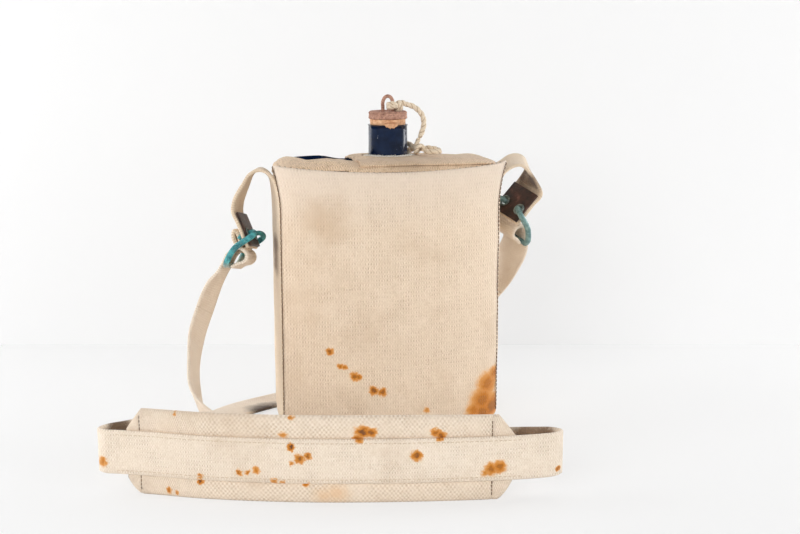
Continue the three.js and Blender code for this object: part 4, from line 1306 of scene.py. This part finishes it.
def make_hook(clasp):
    middle = (TAB_BACK + TAB_FRONT) / 2

    def half_hook(end):
        s = EYELET_HALF_SPACING
        return [
            clasp.on_tab(end * s, 0.0012, TAB_BACK - 0.003),
            clasp.on_tab(end * s, 0.0004, TAB_BACK - 0.0018),
            clasp.on_tab(end * s, 0, middle - 0.0015),
            clasp.on_tab(end * s, 0, middle + 0.0015),
            clasp.on_tab(end * (s + 0.0004), 0.0002, LEATHER_TOP + 0.0029),
            clasp.on_tab(end * (s + 0.0032), 0.0014, LEATHER_TOP + 0.0046),
            clasp.on_tab(end * (HOOK_HALF_WIDTH - 0.0016), 0.0034, LEATHER_TOP + 0.0036),
            clasp.on_hook(end * (HOOK_HALF_WIDTH - 0.0002), 0.0085, 0.001),
            clasp.on_hook(end * HOOK_HALF_WIDTH, 0.013, 0),
            clasp.on_hook(end * HOOK_HALF_WIDTH, HOOK_LENGTH - 0.0036, 0),
            clasp.on_hook(end * (HOOK_HALF_WIDTH - 0.0024), HOOK_LENGTH, 0),
            clasp.on_hook(end * (HOOK_HALF_WIDTH - 0.006), HOOK_LENGTH, 0),
        ]

    def thicker_legs(share, angle):
        near = min(share, 1 - share)
        legs = smooth(near, 0.2, 0.27) * (1 - smooth(near, 0.37, 0.41))
        return HOOK_WIRE * (1 + 0.22 * legs) * math.sqrt(min(1.0, 0.25 + near * 80))

    points = half_hook(1) + [clasp.on_hook(0, HOOK_LENGTH, 0)] + half_hook(-1)[::-1]
    hook = mesh_object(clasp.name + "_bent_hook", *tube_parts(curve(points, 240), thicker_legs, 14))
    finish_piece(hook, clasp.brass, clasp.name + "_hook", [clasp.name + "_double_hook"])


def make_tab_fold(clasp):
    """The tab's end, turned up and sewn down between the prongs on the side away from the leather."""
    places = [(0.0078, -0.0028), (0.0096, -0.0044), (0.0082, -0.0068), (0.0032, -0.0078), (-0.003, -0.0076)]
    places += [(-0.006, -0.006), (-0.0042, -0.0044), (0.001, -0.0048), (0.0054, -0.0048)]
    points = [clasp.on_tab(0, down, out) for down, out in places]
    half_width, thickness = 0.0056, 0.0027
    stations = [(p, clasp.across) for p in curve(points, 60)]
    grid, uv = ribbon(stations, [half_width] * len(stations), [0.0] * len(stations), 8)
    fold = cloth(clasp.name + "_tab_fold", rumpled(grid, [(0.0006, 160, 2.7)]), thickness, uv)
    finish_piece(fold, STRIP_WEB)


for side in (LEFT, RIGHT):
    make_strip(side)
    dress_node(side.name + "_leather_patch", side.leather, 0.0005)
    make_eyelets(side)
    make_hook(side)
make_tab_fold(LEFT)


# Strap: a rolled end as (out, up) from each hook's base bar
BAR_CLEAR = HOOK_WIRE + SEAT_GAP + STRAP / 2
ROLLED_END = [
    (BAR_CLEAR + 0.0004, 0.0004), (0.0058, 0.0042), (0.0088, 0.007), (0.0096, 0.0104), (0.0076, 0.0134),
    (0.0036, 0.0142), (-0.0004, 0.0124), (-BAR_CLEAR - 0.0001, 0.007), (-BAR_CLEAR, 0),
    (-BAR_CLEAR - 0.0003, -0.007),
]
BACK_OF_COVER = COVER_HALF_DEPTH + BOW_DEPTH
STRAP_FLAT = STRAP / 2 + 0.0006
UPRIGHT = (0, 0, 1)
# The length on its edge that runs behind the pad, turns at its right end and runs along its front, as (x, y)
FRONT_RUN = [
    (-0.01, -0.138), (0.032, -0.147), (0.057, -0.151), (0.069, -0.154), (0.073, -0.1586),
    (0.068, -0.163), (0.054, -0.1644), (0.029, -0.163), (-0.023, -0.1565), (-0.08, -0.1455),
    (-0.136, -0.128), (-0.164, -0.1155), (-0.182, -0.1085), (-0.191, -0.105), (-0.1935, -0.1005),
    (-0.189, -0.0955),
]
# The loose run, left hook to right hook, as (x, y, z, width direction)
LOOSE_RUN = [
    (-0.1185, 0.0095, 0.1, (-0.43, -0.88, 0.2)),
    (-0.1255, 0.006, 0.084, (-0.46, -0.86, 0.2)),
    (-0.1318, 0, 0.067, (-0.4, -0.87, 0.25)),
    (-0.1347, -0.01, 0.05, (-0.27, -0.92, 0.3)),
    (-0.1345, -0.024, 0.035, (-0.28, -0.78, 0.56)),
    (-0.131, -0.044, 0.025, (-0.2, -0.3, 0.93)),
    (-0.123, -0.068, 0.02, UPRIGHT),
    (-0.108, -0.092, 0.019, UPRIGHT),
    (-0.084, -0.112, 0.021, UPRIGHT),
    (-0.05, -0.127, 0.024, UPRIGHT),
    *((x, y, PAD_MIDDLE, UPRIGHT) for x, y in FRONT_RUN),
    (-0.178, -0.088, PAD_MIDDLE - 0.001, UPRIGHT),
    (-0.168, -0.068, 0.018, (-0.4, 0.1, 0.9)),
    (-0.158, -0.042, 0.01, (-0.8, 0.3, 0.5)),
    (-0.144, -0.014, STRAP_FLAT + 0.0016, (-0.9, 0.45, 0.05)),
    (-0.124, 0.014, STRAP_FLAT + 0.0001, (-0.7, 0.7, 0)),
    (-0.102, 0.038, STRAP_FLAT + 0.0001, (-0.6, 0.8, 0)),
    (-0.076, BACK_OF_COVER + 0.0065, STRAP_FLAT + 0.0001, (-0.3, 0.95, 0)),
    (-0.042, BACK_OF_COVER + 0.011, 0.007, (-0.05, 1, 0)),
    (0, BACK_OF_COVER + 0.011, 0.022, (-0.05, 1, 0.05)),
    (0.042, BACK_OF_COVER + 0.01, 0.042, (-0.15, 0.97, 0.1)),
    (0.072, BACK_OF_COVER + 0.006, 0.064, (-0.25, 0.92, 0.15)),
    (0.089, 0.047, 0.086, (-0.35, 0.9, 0.22)),
    (0.097, 0.036, 0.106, (-0.4, 0.87, 0.28)),
]
STRAP_POINTS = [LEFT.on_hook(0, HOOK_LENGTH - up, out) for out, up in ROLLED_END]
STRAP_POINTS += [vec(x, y, z) for x, y, z, turn in LOOSE_RUN]
STRAP_POINTS += [RIGHT.on_hook(0, HOOK_LENGTH - up, out) for out, up in ROLLED_END[::-1]]
STRAP_TURNS = [LEFT.across] * len(ROLLED_END) + [Vector(row[3]) for row in LOOSE_RUN]
STRAP_TURNS += [-RIGHT.across] * len(ROLLED_END)
STRAP_STEPS = 12
LEFT_CUT, RIGHT_CUT = len(ROLLED_END) + 1, len(ROLLED_END) + len(LOOSE_RUN) - 2
FRONT_FIRST, FRONT_LAST = len(ROLLED_END) + 14, len(ROLLED_END) + 24


def strap_stations():
    spans = len(STRAP_POINTS) - 1
    total = spans * STRAP_STEPS
    stations = []
    for i in range(total + 1):
        turn = spline(STRAP_TURNS, i / total, even=True).normalized()
        stations.append((spline(STRAP_POINTS, i / total), turn))
    return stations


STATIONS = strap_stations()
STRAP_GRID, STRAP_UV = ribbon(STATIONS, [STRAP_WIDTH / 2] * len(STATIONS), [0.0] * len(STATIONS), 8)


def along_strap(x):
    """Length along the strap where its front run passes a given x."""
    rows = range(FRONT_FIRST * STRAP_STEPS, FRONT_LAST * STRAP_STEPS)
    nearest = min(rows, key=lambda i: abs(STATIONS[i][0].x - x))
    return float(STRAP_UV[nearest, 0, 0])


# Painted shade on the strap, as (place, radius, shade, share): inside the folds at the pad's right and left
# ends, and behind the cover's lower left corner in place of the shadow under the strap.
FOLD_PAINTED_SHADE = [
    (vec(0.064, -0.1515, 0.034), 0.0118, tone(140, 116, 94), 1.4),
    (vec(0.0525, -0.1495, 0.035), 0.0118, tone(140, 116, 94), 1.3),
    (vec(-0.184, -0.0915, 0.034), 0.0125, tone(116, 96, 76), 1.5),
    (vec(-0.0815, 0.0335, 0.001), 0.0185, tone(84, 70, 60), 1.3),
]
STRAP_WEB = woven(
    "strap_webbing", tone(253, 239, 222), tone(218, 197, 172), 0.0008, ribs=0.3, soil_and_shade=FOLD_PAINTED_SHADE,
    spots=[(along_strap(x), z - PAD_MIDDLE, r, s) for x, z, r, s in PAD_STAINS],
)


def strap_part(name, first, last):
    rows = slice(first * STRAP_STEPS, last * STRAP_STEPS + 1)
    part = cloth(name, STRAP_GRID[rows], STRAP, STRAP_UV[rows])
    part.data.materials.append(STRAP_WEB)
    return part


def make_strap():
    spans = len(STRAP_POINTS) - 1
    left = strap_part("strap_left_end", 0, LEFT_CUT)
    middle = strap_part("strap_middle", LEFT_CUT, RIGHT_CUT)
    right = strap_part("strap_right_end", RIGHT_CUT, spans)
    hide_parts("left_strap_end")
    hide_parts("shoulder_strap")
    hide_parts("right_strap_end")
    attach(middle, "carrier")
    left_bar, right_bar = (clasp.on_hook(0, HOOK_LENGTH, 0) for clasp in (LEFT, RIGHT))
    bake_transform(left)
    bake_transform(right)


make_strap()


# Pad: stands on its lower edge, with the strap over its front
PAD_LINE = [vec(x, y, 0) for x, y, z, turn in LOOSE_RUN[16:23]]
PAD_START, PAD_END = 0.07, 0.965
PAD_LEAD = STRAP / 2 + SEAT_GAP + PAD / 2
BAND_START = STRAP_WIDTH / 2 + SEAT_GAP
PAD_STEPS = 200
PAD_PATH = [spline(PAD_LINE, mix(PAD_START, PAD_END, i / PAD_STEPS)) for i in range(PAD_STEPS + 1)]
PAD_LENGTH = path_length(PAD_PATH)
PAD_OUT = vec(-0.25, -0.97, 0)
# Each corner's cut, as (up, along, how round): the right end's low and high, then the left end's
PAD_CORNERS = [[(0.0145, 0.0185, 1.4), (0.0122, 0.0165, 1)], [(0.01, 0.02, 1.6), (0.0122, 0.02, 1)]]


def corner_cut(end, level, from_end):
    rise, run, power = PAD_CORNERS[end][level]
    return rise * max(0.0, 1 - from_end / run) ** power


def pad_point(along, up, face):
    """A point on the pad's front (face -1) or back (face 1), at shares of its length and height."""
    t = mix(PAD_START, PAD_END, along)
    spot = spline(PAD_LINE, t)
    way = (spline(PAD_LINE, t + 0.002) - spline(PAD_LINE, t - 0.002)).normalized()
    back = vec(way.y, -way.x, 0)
    from_end = min(along, 1 - along) * PAD_LENGTH
    end = 0 if along < 0.5 else 1
    low, high = (PAD_HEIGHT / 2 - corner_cut(end, level, from_end) for level in (0, 1))
    high -= PAD_TAPER * (1 - smooth(along, 0, 0.35))
    height = mix(-low, high, up)
    rim = min(1.0, (high - height) / PAD_RIM, (height + low) / PAD_RIM, from_end / PAD_RIM)
    thickness = mix(PAD_EDGE, PAD, math.sqrt(max(0.0, rim * (2 - rim))))
    band = max(0.0, abs(height) - BAND_START) / (PAD_HEIGHT / 2 - BAND_START)
    out = PAD_LEAD + face * thickness / 2
    if face < 0:
        crease = math.exp(-((from_end - PAD_FOLD[end]) / CREASE_WIDTH) ** 2) * smooth(band, 0.02, 0.2)
        out += CREASE_DEPTH * crease - BAND_PUFF * math.sin(math.pi * band)
    return spot + back * out + vec(0, 0, PAD_HEIGHT / 2 + SEAT_GAP / 3 + height)


def pad_mesh():
    rows, columns = 150, 34
    cell = (rows + 1) * (columns + 1)
    points, uv, sewn = [], [], []
    for face in (-1, 1):
        for r in range(rows + 1):
            for c in range(columns + 1):
                p = pad_point(r / rows, c / columns, face)
                height = p.z - PAD_HEIGHT / 2 - SEAT_GAP / 3
                edge = r in (0, rows) or c in (0, columns)
                from_end = min(r, rows - r) / rows * PAD_LENGTH
                folded = abs(from_end - PAD_FOLD[0 if r < rows / 2 else 1]) < 0.001
                under_strap = abs(height) < BAND_START + 0.0008
                strap_seam = abs(abs(height) - BAND_START) < 0.0009
                if edge or strap_seam or (face < 0 and (under_strap or folded)):
                    sewn.append(len(points))
                points.append(p)
                uv.append((r / rows * PAD_LENGTH, height))
    faces = []
    for a, e, d, b in grid_faces(rows + 1, columns + 1):
        faces += [(a, b, d, e), (cell + a, cell + b, cell + d, cell + e)]
    ring = [(r, 0) for r in range(rows)] + [(rows, c) for c in range(columns)]
    ring += [(r, columns) for r in range(rows, 0, -1)] + [(0, c) for c in range(columns, 0, -1)]
    ids = [r * (columns + 1) + c for r, c in ring]
    for a, b in zip(ids, ids[1:] + ids[:1]):
        faces.append((a, b, cell + b, cell + a))
    return mesh_object("folded_pad", points, faces, uv), sewn


def swell(obj, sewn, frames, pressure, limit):
    """Blows a closed cloth up a little between its sewn points and keeps the result."""
    group = obj.vertex_groups.new(name="sewn")
    group.add(sewn, 1.0, "REPLACE")
    modifier = obj.modifiers.new("swell", "CLOTH")
    settings = modifier.settings
    settings.use_pressure, settings.uniform_pressure_force = True, pressure
    settings.vertex_group_mass = "sewn"
    settings.tension_stiffness = settings.compression_stiffness = 40
    settings.effector_weights.gravity = 0
    modifier.point_cache.frame_start, modifier.point_cache.frame_end = 1, frames
    for step in range(1, frames + 1):
        bpy.context.scene.frame_set(step)
    shaped = obj.evaluated_get(bpy.context.evaluated_depsgraph_get()).data
    moved = [v.co.copy() for v in shaped.vertices]
    obj.modifiers.clear()
    for vertex, goal in zip(obj.data.vertices, moved):
        shift = goal - vertex.co
        if shift.length > limit:
            shift *= limit / shift.length
        vertex.co += shift
    obj.vertex_groups.clear()
    bpy.context.scene.frame_set(1)


def along_pad(x):
    nearest = min(range(PAD_STEPS + 1), key=lambda i: abs(PAD_PATH[i].x - x))
    return nearest / PAD_STEPS * PAD_LENGTH


def make_pad():
    material = woven(
        "pad_webbing", tone(249, 233, 214), tone(214, 191, 165), 0.00095, ribs=0.0,
        spots=[(along_pad(x), z - PAD_MIDDLE, r, s) for x, z, r, s in PAD_STAINS],
    )
    pad, sewn = pad_mesh()
    swell(pad, sewn, frames=16, pressure=3, limit=0.0012)
    finish_piece(pad, material, "carrier", ["shoulder_pad"])
    return pad


folded_pad = make_pad()


# Seams and stitches
def outward(p):
    return vec(p.x * 0.2, p.y - bow(p.x), 0).normalized()


def seam_path(side, back):
    """Down the cover's edge, a little in from the side seam, on the front face."""
    run = cover_point_run(side * (SEAM_X - back), 0)
    return [Vector(p) for p in run[:62]]


def make_seams():
    # Nearly unbroken thread along the left panel edge: partly stitching, partly painted shade standing for
    # the shadowed gap between panel and strip.
    path = seam_path(-1, -0.0001)
    row = stitches("left_seam_thread", path, outward, pitch=0.0036, share=0.94, radius=0.00036)
    finish_piece(row, SEAM_THREAD_AND_GAP_SHADE)
    path = seam_path(1, 0.0017)
    row = stitches("right_seam_stitches", path, outward, pitch=0.0028, share=0.72, radius=0.0004)
    finish_piece(row, BROWN_THREAD)
    top = []
    for x in np.linspace(-SEAM_X * 0.97, SEAM_X * 0.97, 200):
        top.append(Vector(cover_point_run(x, WEB * 0.7)[0]) + vec(0, 0, WEB * 0.34))
    up = vec(0, -0.4, 0.9)
    row = stitches("top_seam_stitches", top, lambda p: up, pitch=0.0042, share=0.36, radius=0.00022)
    finish_piece(row, BROWN_THREAD)


def strap_edge(column, inner):
    """Points on the strap's front face, a little in from one of its edges, over the pad."""
    rows = range(int((FRONT_FIRST + 2.4) * STRAP_STEPS), int((FRONT_LAST - 1.6) * STRAP_STEPS))
    edge = [Vector(STRAP_GRID[i, column]).lerp(Vector(STRAP_GRID[i, inner]), 0.55) for i in rows]
    return [p + PAD_OUT * (STRAP / 2) for p in edge]


def on_pad(point):
    """The same point moved to the face of the finished pad."""
    found, place = folded_pad.ray_cast(point + PAD_OUT * 0.01, -PAD_OUT)[:2]
    return place if found else point


def make_pad_stitches():
    def out(p):
        return PAD_OUT

    for name, column, inner in (("lower", 0, 1), ("upper", -1, -2)):
        path = strap_edge(column, inner)
        row = stitches(name + "_strap_stitches", path, out, pitch=0.0028, share=0.6, radius=0.00024)
        finish_piece(row, PALE_THREAD)
    bpy.context.view_layer.update()
    for end, name in ((0, "right"), (1, "left")):
        along = abs(end - PAD_FOLD[end] / PAD_LENGTH)
        for low, high, level in ((0.06, 0.235, "lower"), (0.765, 0.95, "upper")):
            path = [on_pad(pad_point(along, up, -1)) for up in np.linspace(low, high, 12)]
            title = f"{name}_{level}_fold_stitches"
            row = stitches(title, path, out, pitch=0.0024, share=0.8, radius=0.00028)
            finish_piece(row, BROWN_THREAD)


make_seams()
make_pad_stitches()


# Loose white fibres where the flap and the string meet the neck
def make_fray():
    chance = random.Random(7)
    runs = []
    for _ in range(420):
        angle = chance.uniform(math.pi * 1.1, math.pi * 1.88)
        radius = NECK_RADIUS + chance.uniform(0.0012, 0.0052)
        root = polar(radius, angle, FLAP_CROWN + NECK_LIP - 0.0001)
        way = vec(chance.uniform(-1, 1), chance.uniform(-1, 0.4), chance.uniform(-0.1, 0.6))
        tip = root + way * chance.uniform(0.0008, 0.0018)
        bend = root.lerp(tip, 0.5) + vec(0, 0, chance.uniform(0, 0.0006))
        runs.append(curve([root, bend, tip], 4))
    fray = tubes("frayed_edge", runs, lambda share, angle: 0.0002 * (1.2 - share), 4)
    finish_piece(fray, string_material("white_fibre", tone(252, 250, 244), tone(232, 226, 214)))


make_fray()


# Studio
HORIZON, ZENITH, SKY_SEEN = 0.5, 0.14, 0.95
GLOW_SHARE = 0.6


def plain_white(name, lit, glow, see_through=False):
    """White for the camera and in reflections, which takes shadows; it may be clear from its far side."""
    material = bpy.data.materials.new(name)
    material.use_nodes = True
    tree = material.node_tree
    tree.nodes.clear()
    diffuse = add_node(tree, "BsdfDiffuse", (lit, lit, lit, 1))
    emission = add_node(tree, "Emission", (1, 1, 1, 1), glow)
    rays = add_node(tree, "LightPath").node.outputs
    seen = add_node(tree, "Math", rays["Is Camera Ray"], rays["Is Glossy Ray"], operation="MAXIMUM")
    seen = add_node(tree, "Math", seen, rays["Is Transmission Ray"], operation="MAXIMUM")
    share = add_node(tree, "Math", seen, GLOW_SHARE, operation="MULTIPLY")
    white = add_node(tree, "MixShader", share, diffuse, emission)
    if see_through:
        far_side = add_node(tree, "NewGeometry").node.outputs["Backfacing"]
        white = add_node(tree, "MixShader", far_side, white, add_node(tree, "BsdfTransparent"))
    tree.links.new(white, tree.nodes.new("ShaderNodeOutputMaterial").inputs[0])
    return material


def make_stage():
    corners = [vec(x, y, -0.0002) for x, y in ((-4, -4), (4, -4), (4, 4), (-4, 4))]
    floor = mesh_object("floor", corners, [(0, 1, 2, 3)], closed=False)
    floor.data.materials.append(plain_white("floor_white", 0.9, 1.0))
    behind, half, height = 0.21, 2.5, vec(0, 0, 2.0)
    foot, right = polar(behind, AZIMUTH + math.pi / 2, 0), polar(half, AZIMUTH, 0)
    corners = [foot - right, foot + right, foot + right + height, foot - right + height]
    wall = mesh_object("backdrop", corners, [(0, 1, 2, 3)], closed=False)
    wall.data.materials.append(plain_white("wall_white", 0.84, 0.98, see_through=True))


def softbox(name, place, aim, width, height, power, mirrored=True, lights=True):
    """A soft lamp; mirrored ones show in glossy surfaces, and only those that light reach plain ones."""
    data = bpy.data.lights.new(name, "AREA")
    data.shape, data.size, data.size_y, data.energy = "RECTANGLE", width, height, power
    lamp = bpy.data.objects.new(name, data)
    lamp.location = place
    lamp.rotation_mode = "QUATERNION"
    lamp.rotation_quaternion = (Vector(aim) - Vector(place)).to_track_quat("-Z", "Y")
    lamp.visible_camera = False
    lamp.visible_glossy, lamp.visible_diffuse = mirrored, lights
    bpy.context.collection.objects.link(lamp)


def make_world():
    """An even sky for the camera; what lights the object fades from the horizon up."""
    world = bpy.data.worlds.new("studio")
    bpy.context.scene.world = world
    world.use_nodes = True
    tree = world.node_tree
    rise = add_node(tree, "SeparateXYZ", add_node(tree, "TexCoord"), out=2)
    level = add_node(tree, "MapRange", rise, 0.0, 1.0, HORIZON, ZENITH)
    camera_ray = add_node(tree, "LightPath")
    level = add_node(tree, "MapRange", camera_ray, 0.0, 1.0, level, SKY_SEEN)
    sky = tree.nodes["Background"]
    sky.inputs["Color"].default_value = (1, 1, 1, 1)
    tree.links.new(level, sky.inputs["Strength"])


def make_light():
    middle = (0, -0.02, 0.1)
    softbox("key_softbox", (-1.0, -1.3, 0.64), middle, 0.9, 0.9, 12, mirrored=False)
    softbox("fill_softbox", (1.15, -1.15, 0.5), middle, 0.9, 0.9, 7.9, mirrored=False)
    softbox("left_strip_light", (-0.8, 0.1, 0.3), middle, 0.25, 0.7, 2.4, mirrored=False)
    softbox("right_strip_light", (0.8, 0.0, 0.3), middle, 0.25, 0.7, 2.4, mirrored=False)
    softbox("left_rim_panel", (-0.3, 0.255, 0.22), (-0.5, -0.72, 0.22), 0.36, 0.34, 0.7, lights=False)
    softbox("right_rim_panel", (0.4, 0.115, 0.22), (0.2, -0.86, 0.22), 0.36, 0.34, 2.4, lights=False)


make_stage()
make_world()
make_light()
bpy.context.scene.view_settings.view_transform = "Standard"
